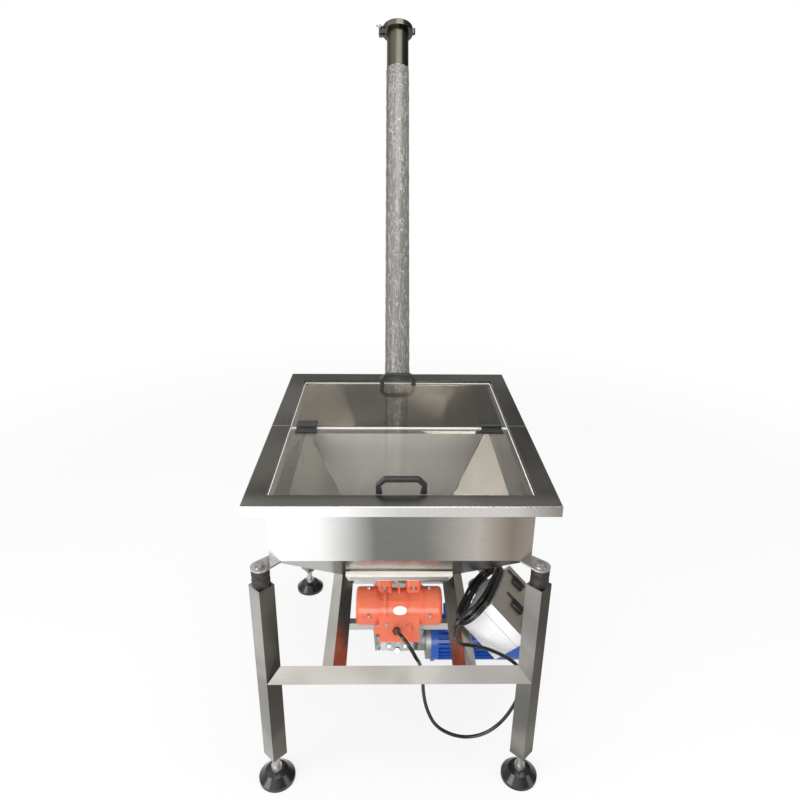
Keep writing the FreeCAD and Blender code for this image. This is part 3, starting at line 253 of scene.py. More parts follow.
class Recipe:  # builds one material, or the world, from nodes
    def __init__(self, name, kind=bpy.data.materials):
        self.made = kind.new(name)
        self.made.use_nodes = True
        self.tree = self.made.node_tree
        self.tree.nodes.clear()
        self.coords = self.tree.nodes.new("ShaderNodeTexCoord")
        self.position = Wire(self, self.coords.outputs["Object"])

    def node(self, kind, settings=None, sockets=None, output=0):
        made = self.tree.nodes.new("ShaderNode" + kind)
        for key, value in (settings or {}).items():
            if key == "stops":
                ramp = made.color_ramp.elements
                while len(ramp) < len(value):
                    ramp.new(0.5)
                for element, (place, colour) in zip(ramp, value):
                    element.position, element.color = place, (*colour, 1.0)
            else:
                setattr(made, key, value)
        for key, value in (sockets or {}).items():
            if isinstance(value, Wire):
                self.tree.links.new(value.end, made.inputs[key])
            else:
                made.inputs[key].default_value = value
        return Wire(self, made.outputs[output]) if len(made.outputs) else None

    def split(self, vector=None):
        parts = self.node("SeparateXYZ", None, {0: vector or self.position})
        outputs = parts.end.node.outputs
        return Wire(self, outputs[0]), Wire(self, outputs[1]), Wire(self, outputs[2])

    def within(self, place, lean):
        # The position as it is in the frame of a piece that leans about X
        return self.node("Mapping", {"vector_type": "TEXTURE"}, {
            "Vector": self.position, "Location": place.translation, "Rotation": (math.radians(lean), 0, 0)})

    def stretched(self, scale, turn=(0, 0, 0), vector=None):
        return self.node("Mapping", None, {"Vector": vector or self.position, "Scale": scale, "Rotation": turn})

    def rays(self, *kinds):
        # 1 for a ray of any of these kinds
        outputs = self.node("LightPath").end.node.outputs
        wires = [Wire(self, outputs["Is %s Ray" % kind]) for kind in kinds]
        total = wires[0]
        for wire in wires[1:]:
            total = total.maths("MAXIMUM", wire)
        return total

    def noise(self, scale, detail=3.0, rough=0.5, vector=None, twist=0.0):
        return self.node("TexNoise", None, {"Vector": vector or self.position, "Scale": scale, "Detail": detail,
                                            "Roughness": rough, "Distortion": twist})

    def blend(self, mask, first, second):
        def colour(value):
            return value if isinstance(value, Wire) else (*value, 1.0)
        return self.node("Mix", {"data_type": "RGBA"}, {0: mask, 6: colour(first), 7: colour(second)}, 2)

    def grained(self, tone, lines, depth=0.12):
        # Lays fine lines over a tone
        fine = self.blend(lines * depth + (0.5 - depth / 2), (0, 0, 0), (1, 1, 1))
        return self.node("Mix", {"data_type": "RGBA", "blend_type": "OVERLAY"}, {0: 0.9, 6: tone, 7: fine}, 2)

    def bump(self, height, distance, strength=1.0):
        return self.node("Bump", None, {"Height": height, "Distance": distance, "Strength": strength})

    def close(self, colour, roughness=0.5, metallic=0.0, normal=None, fixed=None):
        sockets = {"Base Color": colour if isinstance(colour, Wire) else (*colour, 1.0),
                   "Roughness": roughness, "Metallic": metallic}
        if normal:
            sockets["Normal"] = normal
        sockets.update(fixed or {})
        shader = self.node("BsdfPrincipled", None, sockets)
        return self.output(shader)

    def output(self, shader):
        self.node("OutputMaterial", None, {"Surface": shader})
        return self.made


def brushedSteel(name, dark, light, grain, rough=0.26, cloud=4.0):
    # Rolled and brushed sheet: fine lines along the grain, soft clouds across
    recipe = Recipe(name)
    lines = recipe.noise(1.0, 2.0, 0.6, recipe.stretched(grain))
    clouds = recipe.noise(cloud, 2.0, 0.45, twist=0.6)
    tone = recipe.grained(recipe.blend(clouds.step(0.35, 0.65), dark, light), lines)
    roughness = lines * 0.14 + clouds * 0.10 + (rough - 0.12)
    return recipe.close(tone, roughness, 1.0, recipe.bump(lines, 0.00012, 0.35))


# The cone's inner walls: where they start and how far they run inwards on their way down, then how far
# past them its outside begins, and how near to an edge the painted bright lines of its seams reach
cone = {
    "top": 0.6365,
    "perMetre": 2.766,
    "half": 0.2841,
    "sideRun": 0.2224,
    "front": -0.7081,
    "frontRun": 0.4035,
    "rear": -0.022,
    "rearRun": 0.2087,
    "wall": 0.0011,
    "frontWall": 0.0014,
    "seam": 0.0028,
    "rearSkin": 0.0040,
}


def coneFinish():
    # Polished side walls, and dull darker faces outside. The rear wall is softer and painted paler, a painted
    # reflection of the bright ceiling, and the seams where the walls meet are painted as fine bright lines,
    # painted highlights
    recipe = Recipe("insideSteel")
    x, y, z = recipe.split()
    down = (cone["top"] - z) * cone["perMetre"]  # 0 at the cone's top, 1 at its bottom
    wall = (x - hopperMiddle).maths("ABSOLUTE") - (cone["half"] - down * cone["sideRun"])
    fromFront = y - (down * cone["frontRun"] + cone["front"])
    fromRear = y - (cone["rear"] - down * cone["rearRun"])
    nearFront, nearRear = fromFront.maths("ABSOLUTE"), fromRear.maths("ABSOLUTE")
    outerEnds = (fromFront < -cone["frontWall"]).maths("MAXIMUM", fromRear > cone["wall"])
    outer = (wall > cone["wall"]).maths("MAXIMUM", outerEnds)
    seam = (wall.maths("ABSOLUTE") < cone["seam"]) * (nearFront.maths("MINIMUM", nearRear) < cone["seam"])
    rear = (nearRear < cone["rearSkin"]) * (wall < -cone["seam"])
    clouds = recipe.noise(3.2, 3.0, 0.5, twist=0.8)
    patches = clouds.step(0.3, 0.7)
    tone = recipe.blend(patches, (0.46, 0.43, 0.385), (0.62, 0.59, 0.54))
    # painted reflection: the rear wall is painted paler than the side walls
    tone = recipe.blend(rear, tone, recipe.blend(patches, (0.80, 0.77, 0.73), (0.92, 0.89, 0.85)))
    # painted highlight: fine bright lines along the seams
    tone = recipe.blend(seam, tone, (0.93, 0.91, 0.88))
    tone = recipe.blend(outer, tone, (0.27, 0.26, 0.24))
    waves = recipe.noise(2.1, 1.0, 0.4)
    rough = rear.maths("MAXIMUM", outer) * 0.24 + clouds * 0.03 + 0.015
    return recipe.close(tone, rough, 1.0, recipe.bump(waves, 0.0012, 0.2))


legMiddles = {"left": -0.322, "right": 0.286}  # x of the ridges that face the camera


def uprightFinish():
    # Brushed along the leg; the faces that look to the right are painted darker and browner, painted shade
    recipe = Recipe("uprightSteel")
    x = recipe.split()[0]
    lines = recipe.noise(1.0, 2.0, 0.6, recipe.stretched((900, 900, 12)))
    clouds = recipe.noise(4.0, 2.0, 0.45, twist=0.6)
    patches = clouds.step(0.35, 0.65)
    shadedRightFaces = (x > legMiddles["right"]) + (x < hopperMiddle) * (x > legMiddles["left"])
    pale = recipe.blend(patches, (0.24, 0.235, 0.22), (0.44, 0.43, 0.41))
    # painted shade: the darker, browner tone of the faces that look to the right
    brown = recipe.blend(patches, (0.09, 0.082, 0.07), (0.17, 0.16, 0.14))
    tone = recipe.grained(recipe.blend(shadedRightFaces, pale, brown), lines)
    return recipe.close(tone, lines * 0.14 + clouds * 0.10 + 0.12, 1.0, recipe.bump(lines, 0.00012, 0.35))


# Where the rim's front lip, the strip behind it that is painted paler and the welded seam lie, and the lip's
# painted light from left to right
rim = {"lipFront": -0.7540, "lipTop": 0.7992, "paintedPaleFrom": -0.745, "paintedPaleTo": -0.690, "seamHalf": 0.0012}
lipPaintedLight = [(0.0, (1.0, 1.0, 1.0)), (0.30, (1.0, 1.0, 1.0)), (0.46, (0.86, 0.86, 0.86)),
            (0.62, (0.84, 0.84, 0.83)), (0.80, (0.97, 0.96, 0.95)), (1.0, (0.34, 0.30, 0.26))]


def rimFinish():
    # The rim's flat top is painted dark and blotchy, a painted reflection, and painted paler towards the front;
    # its front lip carries painted highlights, and a welded seam, painted as a bright highlight line, crosses
    # both sides beside the lids' hinge line
    recipe = Recipe("rimSteel")
    x, y, z = recipe.split()
    lines = recipe.noise(1.0, 2.0, 0.6, recipe.stretched((420, 420, 60)))
    blotches = recipe.noise(3.4, 1.5, 0.4, twist=0.3).step(0.30, 0.70)
    tone = recipe.blend(blotches, (0.09, 0.085, 0.075), (0.20, 0.195, 0.18))
    # painted light: a paler strip behind the front lip
    near = 1.0 - y.step(rim["paintedPaleFrom"], rim["paintedPaleTo"])
    tone = recipe.blend(near, tone, recipe.blend(blotches, (0.24, 0.235, 0.22), (0.36, 0.35, 0.33)))
    # painted highlight: a bright line along the welded seam
    seam = (y - hingeLine).maths("ABSOLUTE") < rim["seamHalf"]
    tone = recipe.blend(seam, tone, (0.80, 0.79, 0.77))
    # painted highlight and reflection on the front lip, white at the left and brown at the right
    lip = (y < rim["lipFront"]) * (z < rim["lipTop"])
    tone = recipe.blend(lip, tone, recipe.node("ValToRGB", {"stops": lipPaintedLight}, {0: x * 1.4 + 0.5}))
    return recipe.close(tone, lines * 0.10 + blotches * 0.06 + 0.18, 1.0, recipe.bump(lines, 0.00005, 0.3))


def polishedSteel(name, dark, light, rough=0.10):
    recipe = Recipe(name)
    clouds = recipe.noise(3.2, 3.0, 0.5, twist=0.8)
    smears = recipe.noise(1.0, 3.0, 0.6, recipe.stretched((9, 22, 9), turn=(0.3, 0.2, 0.5)))
    tone = recipe.blend(clouds.step(0.3, 0.7), dark, light)
    waves = recipe.noise(2.1, 1.0, 0.4)
    roughness = smears * 0.10 + clouds * 0.05 + (rough - 0.06)
    return recipe.close(tone, roughness, 1.0, recipe.bump(waves, 0.004, 0.25))


def paint(name, colour, shade, rough=0.3, grit=0.00025, coat=0.35):
    recipe = Recipe(name)
    orange = recipe.noise(260.0, 2.0, 0.5)
    clouds = recipe.noise(9.0, 2.0, 0.5)
    tone = recipe.blend(clouds.step(0.3, 0.75), shade, colour)
    return recipe.close(tone, orange * 0.12 + clouds * 0.1 + (rough - 0.1), 0.0, recipe.bump(orange, grit, 0.5),
                        {"Coat Weight": coat, "Coat Roughness": 0.12})


def moulded(name, colour, rough=0.42, grit=0.00015, scale=900.0, coat=0.0):
    recipe = Recipe(name)
    grain = recipe.noise(scale, 2.0, 0.6)
    dust = recipe.noise(24.0, 3.0, 0.6)
    lighter = tuple(min(1.0, c * 1.5 + 0.01) for c in colour)
    tone = recipe.blend(dust.step(0.45, 0.8) * 0.6, colour, lighter)
    return recipe.close(tone, grain * 0.10 + dust * 0.12 + (rough - 0.1), 0.0, recipe.bump(grain, grit, 0.4),
                        {"Coat Weight": coat, "Coat Roughness": 0.1})


def castMetal(name, dark, light, rough=0.42):
    recipe = Recipe(name)
    sand = recipe.noise(420.0, 3.0, 0.65)
    clouds = recipe.noise(14.0, 3.0, 0.5)
    tone = recipe.blend(clouds.step(0.3, 0.7), dark, light)
    return recipe.close(tone, sand * 0.2 + (rough - 0.1), 0.9, recipe.bump(sand, 0.0004, 0.5))


# The lids' outer edges, and half the width of the strip over their hinge line
lids = {"half": 0.2811, "front": -0.7056, "rear": -0.0252, "gapHalf": 0.0030}


def clearSheet(name):
    # Clear plastic with bright sawn edges that carry a faint painted glow; lamps still reach what lies under it
    recipe = Recipe(name)
    x, y = recipe.split()[:2]
    fromMiddle = (x - hopperMiddle).maths("ABSOLUTE")
    fromHinge = (y - hingeLine).maths("ABSOLUTE")
    edge = fromMiddle > lids["half"]
    for other in (fromHinge < lids["gapHalf"], y < lids["front"], y > lids["rear"]):
        edge = edge.maths("MAXIMUM", other)
    haze = recipe.noise(7.0, 3.0, 0.5)
    clear = (0.93, 0.94, 0.93, 1.0)
    shader = recipe.node("BsdfPrincipled", None, {
        "Base Color": clear, "Roughness": haze.step(0.5, 0.8) * 0.02, "IOR": 1.42, "Transmission Weight": 1.0})
    through = recipe.node("BsdfTransparent", None, {"Color": clear})
    # painted glow: the sawn edges emit a little white light
    sawnEdgeGlow = recipe.node("BsdfPrincipled", None, {
        "Base Color": (0.95, 0.96, 0.96, 1.0), "Roughness": 0.3, "Emission Color": (1.0, 1.0, 1.0, 1.0),
        "Emission Strength": 0.15})
    faces = recipe.node("MixShader", None, {0: recipe.rays("Shadow"), 1: shader, 2: through})
    return recipe.output(recipe.node("MixShader", None, {0: edge * 0.85, 1: faces, 2: sawnEdgeGlow}))


# The skirt's inner faces, from the hopper's middle, and its outer tones from left to right, which are painted
# light
skirt = {
    "halfWide": 0.2855,
    "middle": -0.36535,
    "halfLong": 0.3447,
    "paintedLightTones": [(0.0, (0.97, 0.97, 0.97)), (0.20, (0.93, 0.93, 0.925)), (0.40, (0.23, 0.23, 0.22)),
              (0.60, (0.27, 0.27, 0.26)), (0.80, (0.66, 0.63, 0.59)), (0.92, (0.36, 0.31, 0.26)),
              (1.0, (0.52, 0.50, 0.47))],
}


def skirtFinish():
    # Brushed outside, with painted light running from white at the left to warm grey at the right;
    # the inner faces are polished and painted dark brown, a painted reflection of the dark inside of the
    # hopper, darker towards the right
    recipe = Recipe("skirtSteel")
    x, y = recipe.split()[:2]
    lines = recipe.noise(1.0, 2.0, 0.6, recipe.stretched((10, 10, 900)))
    clouds = recipe.noise(4.0, 2.0, 0.45, twist=0.6)
    # painted light and reflection: the outside runs from white at the left to warm grey at the right
    tone = recipe.node("ValToRGB", {"stops": skirt["paintedLightTones"]}, {0: (x + clouds * 0.05) * 1.7 + 0.49})
    tone = recipe.grained(tone, lines)
    inner = (x - hopperMiddle).maths("ABSOLUTE") < skirt["halfWide"]
    inner = inner * ((y - skirt["middle"]).maths("ABSOLUTE") < skirt["halfLong"])
    # painted reflection: the inner faces are painted dark brown, darker towards the right
    brown = recipe.blend(clouds.step(0.3, 0.7), (0.17, 0.155, 0.13), (0.27, 0.25, 0.22))
    brown = recipe.blend(x.step(0.0, 0.16) * 0.6, brown, (0.05, 0.045, 0.04))
    roughness = inner * (clouds * 0.03 + 0.02) + (1.0 - inner) * (lines * 0.14 + clouds * 0.10 + 0.15)
    return recipe.close(recipe.blend(inner, tone, brown), roughness, 1.0, recipe.bump(lines, 0.00012, 0.35))


# How the brushed lines are stretched
grainAcross = (12, 900, 900)
grainAlong = (900, 12, 900)
steel = {
    "skirt": skirtFinish(),
    "rim": rimFinish(),
    "upright": uprightFinish(),
    "crosswise": brushedSteel("crosswiseSteel", (0.60, 0.585, 0.565), (0.80, 0.785, 0.765), grainAcross, 0.24),
    "lengthwise": brushedSteel("lengthwiseSteel", (0.34, 0.33, 0.30), (0.48, 0.465, 0.43), grainAlong, 0.28),
    "inside": coneFinish(),
    "bright": polishedSteel("brightSteel", (0.58, 0.58, 0.57), (0.72, 0.72, 0.71), 0.16),
    "olive": polishedSteel("oliveSteel", (0.08, 0.076, 0.06), (0.17, 0.165, 0.14), 0.2),
    "machined": brushedSteel("machinedSteel", (0.45, 0.45, 0.46), (0.6, 0.6, 0.61), (60, 60, 60), 0.3, 20.0),
    "zinc": castMetal("zincSteel", (0.42, 0.42, 0.41), (0.60, 0.60, 0.58), 0.3),
}
finish = {
    "clear": clearSheet("clearSheet"),
    "orange": paint("orangePaint", (0.88, 0.19, 0.095), (0.78, 0.15, 0.07), 0.33),
    "blue": paint("bluePaint", (0.012, 0.10, 0.48), (0.008, 0.07, 0.36), 0.3),
    "black": moulded("blackMoulding", (0.014, 0.014, 0.015), 0.36, 0.0001, 900.0, 0.2),
    "rubber": moulded("blackRubber", (0.018, 0.017, 0.016), 0.55, 0.0002),
    "cable": moulded("cableSheath", (0.008, 0.008, 0.008), 0.24, 0.00004, 700.0, 0.4),
    "cast": castMetal("castAluminium", (0.28, 0.285, 0.29), (0.46, 0.465, 0.47), 0.46),
    "bronze": castMetal("bronzeWheel", (0.45, 0.28, 0.11), (0.62, 0.42, 0.18), 0.35),
    "sleeve": moulded("sleeveCloth", (0.62, 0.60, 0.56), 0.7, 0.0003, 400.0),
    # the pale oval plate on the vibration motor
    "bare": moulded("paleOvalPlate", (0.86, 0.86, 0.84), 0.3, 0.00005),
}


studFrom = 0.0302  # height above which a foot is its steel stud


def footFinish():
    # Black moulded pad under a bright stud
    recipe = Recipe("footPadAndStud")
    metal = recipe.split()[2] > studFrom
    threads = recipe.node("TexWave", {"wave_type": "BANDS", "bands_direction": "Z", "wave_profile": "SIN"},
                          {"Vector": recipe.position, "Scale": 80.0})
    grain = recipe.noise(500.0, 2.0, 0.6)
    tone = recipe.blend(metal, (0.012, 0.012, 0.012), (0.62, 0.62, 0.61))
    height = threads * metal + grain * 0.1
    return recipe.close(tone, metal * 0.06 + grain * 0.1 + 0.17, metal, recipe.bump(height, 0.0009, 0.6),
                        {"Coat Weight": 0.25, "Coat Roughness": 0.1})


def boardFinish():
    # Layered pale board, its plies seen at the edges
    recipe = Recipe("plyBoard")
    local = recipe.within(vibratorFrame, vibratorLean)
    layers = recipe.noise(1.0, 2.0, 0.6, recipe.stretched((14, 90, 420), vector=local))
    pale = recipe.blend(layers.step(0.42, 0.6), (0.84, 0.78, 0.68), (0.95, 0.92, 0.87))
    return recipe.close(pale, layers * 0.1 + 0.4, 0.0, recipe.bump(layers, 0.0003, 0.4))


doorSkin = 0.0006  # depth of the door's outer face that shows as steel


def boxFinish():
    # Smooth pale skin on the sides, with fine creases drawn as darker lines, painted shade in their folds; the
    # door's face is a metallic beige grey
    recipe = Recipe("controlBoxSkin")
    away = recipe.node("VectorMath", {"operation": "DOT_PRODUCT"}, {0: recipe.position, 1: boxOut}, "Value")
    face = away > (boxCorner.dot(boxOut) - doorSkin)
    creases = recipe.noise(7.0, 4.0, 0.7, twist=1.5)
    # painted shade: darker lines along the creases
    line = creases.step(0.494, 0.5) * (1.0 - creases.step(0.5, 0.506))
    grain = recipe.noise(300.0, 2.0, 0.5)
    white = recipe.blend(line * 0.5, (0.90, 0.90, 0.91), (0.66, 0.66, 0.68))
    smears = recipe.noise(8.0, 2.0, 0.5, twist=0.8)
    grey = recipe.blend(smears.step(0.3, 0.7), (0.50, 0.45, 0.385), (0.64, 0.59, 0.52))
    return recipe.close(recipe.blend(face, white, grey), grain * 0.08 + face * 0.04 + 0.26, face * 0.75,
                        recipe.bump(creases, 0.003, 0.15), {"Coat Weight": 0.15, "Coat Roughness": 0.15})


bareTube = (1.690, 1.702)  # heights between which the film's gleam, painted into the steel under it, gives way to bare steel


def tubeFinish():
    # Darker steel where the tube is bare at its top; under the film the steel is painted brighter, a painted
    # sheen for the film
    recipe = Recipe("screwTubeSteel")
    bare = recipe.split()[2].step(*bareTube)
    local = recipe.within(tubeFrame, tubeLean)
    lines = recipe.noise(1.0, 2.0, 0.6, recipe.stretched((600, 600, 8), vector=local))
    olive = recipe.blend(lines, (0.07, 0.066, 0.05), (0.15, 0.145, 0.12))
    # painted sheen: the steel under the film is painted pale
    pale = recipe.blend(lines, (0.42, 0.40, 0.36), (0.58, 0.56, 0.52))
    tone = recipe.blend(bare, pale, olive)
    return recipe.close(tone, lines * 0.15 + 0.2, 1.0, recipe.bump(lines, 0.0001, 0.3))


finish["foot"] = footFinish()
finish["board"] = boardFinish()
finish["box"] = boxFinish()
steel["tube"] = tubeFinish()

skins = {
    steel["skirt"]: ["hopper_skirt"],
    steel["rim"]: ["hopper_rim"],
    steel["inside"]: ["hopper_cone", "hopper_neck", "lid_ledge"],
    steel["upright"]: ["legs"],
    steel["crosswise"]: ["cross_rails", "front_cross_bar", "tube_saddle"],
    steel["bright"]: ["corner_tabs", "discharge_spout", "feed_chute"],
    steel["olive"]: ["end_cap", "clamp_ring"],
    steel["lengthwise"]: ["clamp_bolt", "wing_nut", "side_beams", "hanger_plates", "box_bracket"],
    steel["tube"]: ["screw_tube"],
    steel["machined"]: ["auger", "rotor_shaft", "vibrator_shaft", "eccentric_weights"],
    steel["zinc"]: ["mount_bolts", "foot_nuts", "gearbox_bolts", "vibrator_bolts", "hinge_pins"],
    finish["clear"]: ["lid_front", "lid_rear"],
    finish["orange"]: ["vibrator_housing", "terminal_cover", "vibrator_covers"],
    finish["blue"]: ["drive_motor", "fan_cover"],
    finish["black"]: ["handle_front", "handle_rear", "hinge_leaves_front", "hinge_leaves_rear", "cable_gland",
                      "box_gland", "case_hinges", "door_hinges", "cooling_fan"],
    finish["rubber"]: ["rubber_mounts"],
    finish["foot"]: ["foot_front_left", "foot_front_right", "foot_rear_left", "foot_rear_right"],
    finish["cast"]: ["gearbox_housing"],
    finish["bronze"]: ["worm_wheel"],
    finish["sleeve"]: ["outlet_sleeve"],
    finish["box"]: ["control_box", "box_door"],
}
for skin, names in skins.items():
    for name in names:
        piece = nodes[name]
        piece.data.materials.clear()
        piece.data.materials.append(skin)
cord.data.materials.append(finish["cable"])
print("finishes made")


# Shaping helpers
def onlySelect(piece):
    bpy.ops.object.select_all(action="DESELECT")
    piece.select_set(True)
    bpy.context.view_layer.objects.active = piece


def added(make, **settings):
    # Runs an operator that adds an object, with nothing else selected
    bpy.ops.object.select_all(action="DESELECT")
    make(**settings)
    return bpy.context.object


def settle(piece, body, skin, place, smooth=40.0):
    # Bakes the place into the mesh, so that the object itself stays at the origin
    bpy.context.view_layer.update()
    piece.data.transform(place @ piece.matrix_world)
    piece.matrix_world = Matrix.Identity(4)
    piece.data.materials.clear()
    piece.data.materials.append(skin)
    onlySelect(piece)
    bpy.ops.object.shade_smooth_by_angle(angle=math.radians(smooth))
    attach(piece, body)
    return piece


def joinedPieces(pieces, name):
    bpy.ops.object.select_all(action="DESELECT")
    for piece in pieces:
        piece.select_set(True)
    bpy.context.view_layer.objects.active = pieces[0]
    bpy.ops.object.join()
    pieces[0].name = name
    return pieces[0]


# The protective film round the screw tube, creased lengthwise and across
film = {
    "radius": 0.0388,
    "low": 0.700,
    "high": 1.706,
    "around": 120,
    "lengthwise": 400,
    "depth": 0.0011,
    "thickness": 0.0003,
    "waves": 9,
    "seed": 11,
    "paintedShadeEdge": (-0.036, -0.028),
}


def filmFinish():
    recipe = Recipe("wrinkledFilm")
    local = recipe.within(tubeFrame, tubeLean)
    creases = recipe.noise(1.0, 4.0, 0.60, recipe.stretched((46, 46, 9), (0.2, 0.3, 0.2), local), 1.6)
    fine = recipe.noise(1.0, 3.0, 0.6, recipe.stretched((120, 120, 34), (0.5, -0.4, 0.3), local), 1.0)
    # painted highlights: the crease ridges are painted bright, the film between them darker
    ridges = creases.step(0.492, 0.515) * (1.0 - creases.step(0.515, 0.54))
    # painted shade: the film is darkened along the tube's left edge
    shade = recipe.split(local)[0].step(*film["paintedShadeEdge"])
    tone = recipe.blend(ridges * 0.6 + fine * 0.12, (0.26, 0.25, 0.235), (0.78, 0.77, 0.75))
    tone = recipe.blend(shade, (0.12, 0.115, 0.105), tone)
    height = ridges * 0.7 + fine * 0.3
    shader = recipe.node("BsdfPrincipled", None, {
        "Base Color": tone, "Roughness": fine * 0.16 + 0.14, "Metallic": 0.0,
        "Alpha": ridges * 0.4 + fine * 0.2 + 0.4, "Normal": recipe.bump(height, 0.0007, 0.6),
        "Coat Weight": 0.6, "Coat Roughness": 0.08})
    return recipe.output(shader)


def makeFilm():
    rise = math.cos(math.radians(tubeLean))
    low, high = ((film[end] - tubeFrame.translation.z) / rise for end in ("low", "high"))
    wrap = added(bpy.ops.mesh.primitive_cylinder_add, vertices=film["around"], radius=film["radius"],
                 depth=high - low, end_fill_type="NOTHING", location=(0, 0, (low + high) / 2))
    wrap.name = "filmWrap"
    bpy.context.view_layer.update()
    wrap.data.transform(wrap.matrix_world)
    wrap.matrix_world = Matrix.Identity(4)
    bpy.ops.object.mode_set(mode="EDIT")
    bpy.ops.mesh.select_all(action="SELECT")
    mesh = bmesh.from_edit_mesh(wrap.data)
    for edge in mesh.edges:
        bottom, top = sorted(vertex.co.z for vertex in edge.verts)
        edge.select = top > bottom + film["radius"]  # the edges that run along the tube
    bmesh.update_edit_mesh(wrap.data)
    bpy.ops.mesh.subdivide_edgering(number_cuts=film["lengthwise"], interpolation="LINEAR")
    bpy.ops.object.mode_set(mode="OBJECT")
    chance = random.Random(film["seed"])
    waves = [(chance.uniform(25, 160), chance.choice((2, 3, 4, 5, 7, 9)), chance.uniform(0, 6.3),
              chance.uniform(0.15, 0.5)) for _ in range(film["waves"])]
    for vertex in wrap.data.vertices:
        around = math.atan2(vertex.co.y, vertex.co.x)
        height = sum(size * max(0.0, math.sin(vertex.co.z * pitch + around * count + start)) ** 4
                     for pitch, count, start, size in waves)
        push = min(1.0, height / 1.2) * film["depth"]
        vertex.co.x += math.cos(around) * push
        vertex.co.y += math.sin(around) * push
    wall = wrap.modifiers.new("wall", "SOLIDIFY")
    wall.thickness = film["thickness"]
    wall.offset = 1.0
    onlySelect(wrap)
    bpy.ops.object.modifier_apply(modifier="wall")
    settle(wrap, "frame", filmFinish(), tubeFrame)
    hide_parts("tube_film")


makeFilm()
print("film wrapped")


# The vibration motor's seat: a steel plate with a pale layered board round its middle
seat = {
    "wide": 0.265,
    "deep": 0.130,
    "plate": (0.0570, 0.0814),
    "board": (0.0655, 0.0780),
    "setback": 0.009,
    "edge": 0.0008,
}


def slab(name, size, middle, bevel, skin, body, frameOf):
    piece = added(bpy.ops.mesh.primitive_cube_add, size=1.0, location=middle, scale=size)
    piece.name = name
    bpy.ops.object.transform_apply(location=False, rotation=False, scale=True)
    edge = piece.modifiers.new("edge", "BEVEL")
    edge.width, edge.segments = bevel, 3
    onlySelect(piece)
    bpy.ops.object.modifier_apply(modifier="edge")
    return settle(piece, body, skin, frameOf)


def makeSeat():
    def layer(name, heights, inset, skin):
        low, high = heights
        size = (seat["wide"] - 2 * inset, seat["deep"] - 2 * inset, high - low)
        middle = (0, 0, (low + high) / 2)
        return slab(name, size, middle, seat["edge"], skin, "hopper", vibratorFrame)

    board = layer("seatBoard", seat["board"], 0.0, finish["board"])
    layer("seatPlate", seat["plate"], seat["setback"], steel["bright"])
    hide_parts("vibrator_plate")


makeSeat()
print("seat laid")


# Bright screws on the vibration motor's end covers, each a washer under a hexagon, and one on its terminal box
coverScrews = {
    "places": [(x, y, z) for x in (-0.074, 0.074) for y, z in ((-0.0272, 0.0405), (-0.0412, -0.0268))],
    "washer": {"out": 0.0005, "radius": 0.0055, "length": 0.003, "sides": 32},
    "head": {"out": 0.0035, "radius": 0.0042, "length": 0.004, "sides": 6},
    "terminal": (-0.031, -0.0395, -0.0474),
}


def disc(place, axis, radius, length, sides=24):
    piece = added(bpy.ops.mesh.primitive_cylinder_add, vertices=sides, radius=radius, depth=length,
                  location=place)
    piece.rotation_mode = "QUATERNION"
    piece.rotation_quaternion = Vector(axis).to_track_quat("Z", "Y")
    bpy.context.view_layer.update()
    piece.data.transform(piece.matrix_world)
    piece.matrix_world = Matrix.Identity(4)
    return piece


def makeCoverScrews():
    heads = []
    for x, y, z in coverScrews["places"]:
        outwards = 1 if x > 0 else -1
        for part in (coverScrews["washer"], coverScrews["head"]):
            place = (x + outwards * part["out"], y, z)
            heads.append(disc(place, (1, 0, 0), part["radius"], part["length"], part["sides"]))
    head = coverScrews["head"]
    heads.append(disc(coverScrews["terminal"], (0, 1, 0), head["radius"], head["length"]))
    settle(joinedPieces(heads, "coverScrews"), "hopper", steel["zinc"], vibratorFrame, 30.0)


# A pale oval plate, bent round the motor's body
paleOval = {"x": 0.0021, "lean": 18.3, "halfWide": 0.017, "halfTall": 0.011, "body": 0.0449, "out": 0.0452,
            "thickness": 0.0008}


def makePaleOval():
    oval = added(bpy.ops.mesh.primitive_cylinder_add, vertices=64, radius=1.0, depth=1.0, location=(0, 0, 0))
    oval.name = "paleOval"
    lean = Matrix.Rotation(math.radians(paleOval["lean"]), 4, "X")
    for vertex in oval.data.vertices:
        point = vertex.co
        tall = point.y * paleOval["halfTall"]
        sag = paleOval["body"] - math.sqrt(paleOval["body"] ** 2 - tall ** 2)
        out = point.z * paleOval["thickness"] - paleOval["out"] + sag
        vertex.co = lean @ Vector((point.x * paleOval["halfWide"] + paleOval["x"], out, tall))
    settle(oval, "hopper", finish["bare"], vibratorFrame)


# Flange rings and the parting line round the motor's body, and the blind boss beside the gland
motorRibs = {
    "rings": [
        {"x": -0.0350, "wide": 0.0070, "radius": 0.0495},
        {"x": 0.0195, "wide": 0.0026, "radius": 0.0475},
        {"x": 0.0580, "wide": 0.0050, "radius": 0.0505},
        {"x": -0.0580, "wide": 0.0050, "radius": 0.0505},
    ],
    "line": {"location": (0.0, -0.0438, 0.0085), "scale": (0.106, 0.0052, 0.0024)},
    "boss": (0.0241, -0.0388, -0.0535),
    "bossRing": {"major_radius": 0.0085, "minor_radius": 0.0016, "major_segments": 48, "minor_segments": 12},
    "bossPin": {"radius": 0.0052, "length": 0.0030, "sides": 40},
}


def makeMotorRibs():
    ribs = [disc((ring["x"], 0, 0), (1, 0, 0), ring["radius"], ring["wide"], 96) for ring in motorRibs["rings"]]
    ribs.append(added(bpy.ops.mesh.primitive_cube_add, size=1.0, **motorRibs["line"]))
    bpy.ops.object.transform_apply(location=False, rotation=False, scale=True)
    ribs.append(added(bpy.ops.mesh.primitive_torus_add, location=motorRibs["boss"],
                      rotation=(math.radians(90), 0, 0), **motorRibs["bossRing"]))
    ribs.append(disc(motorRibs["boss"], (0, 1, 0), **motorRibs["bossPin"]))
    settle(joinedPieces(ribs, "motorRibs"), "hopper", finish["orange"], vibratorFrame, 30.0)


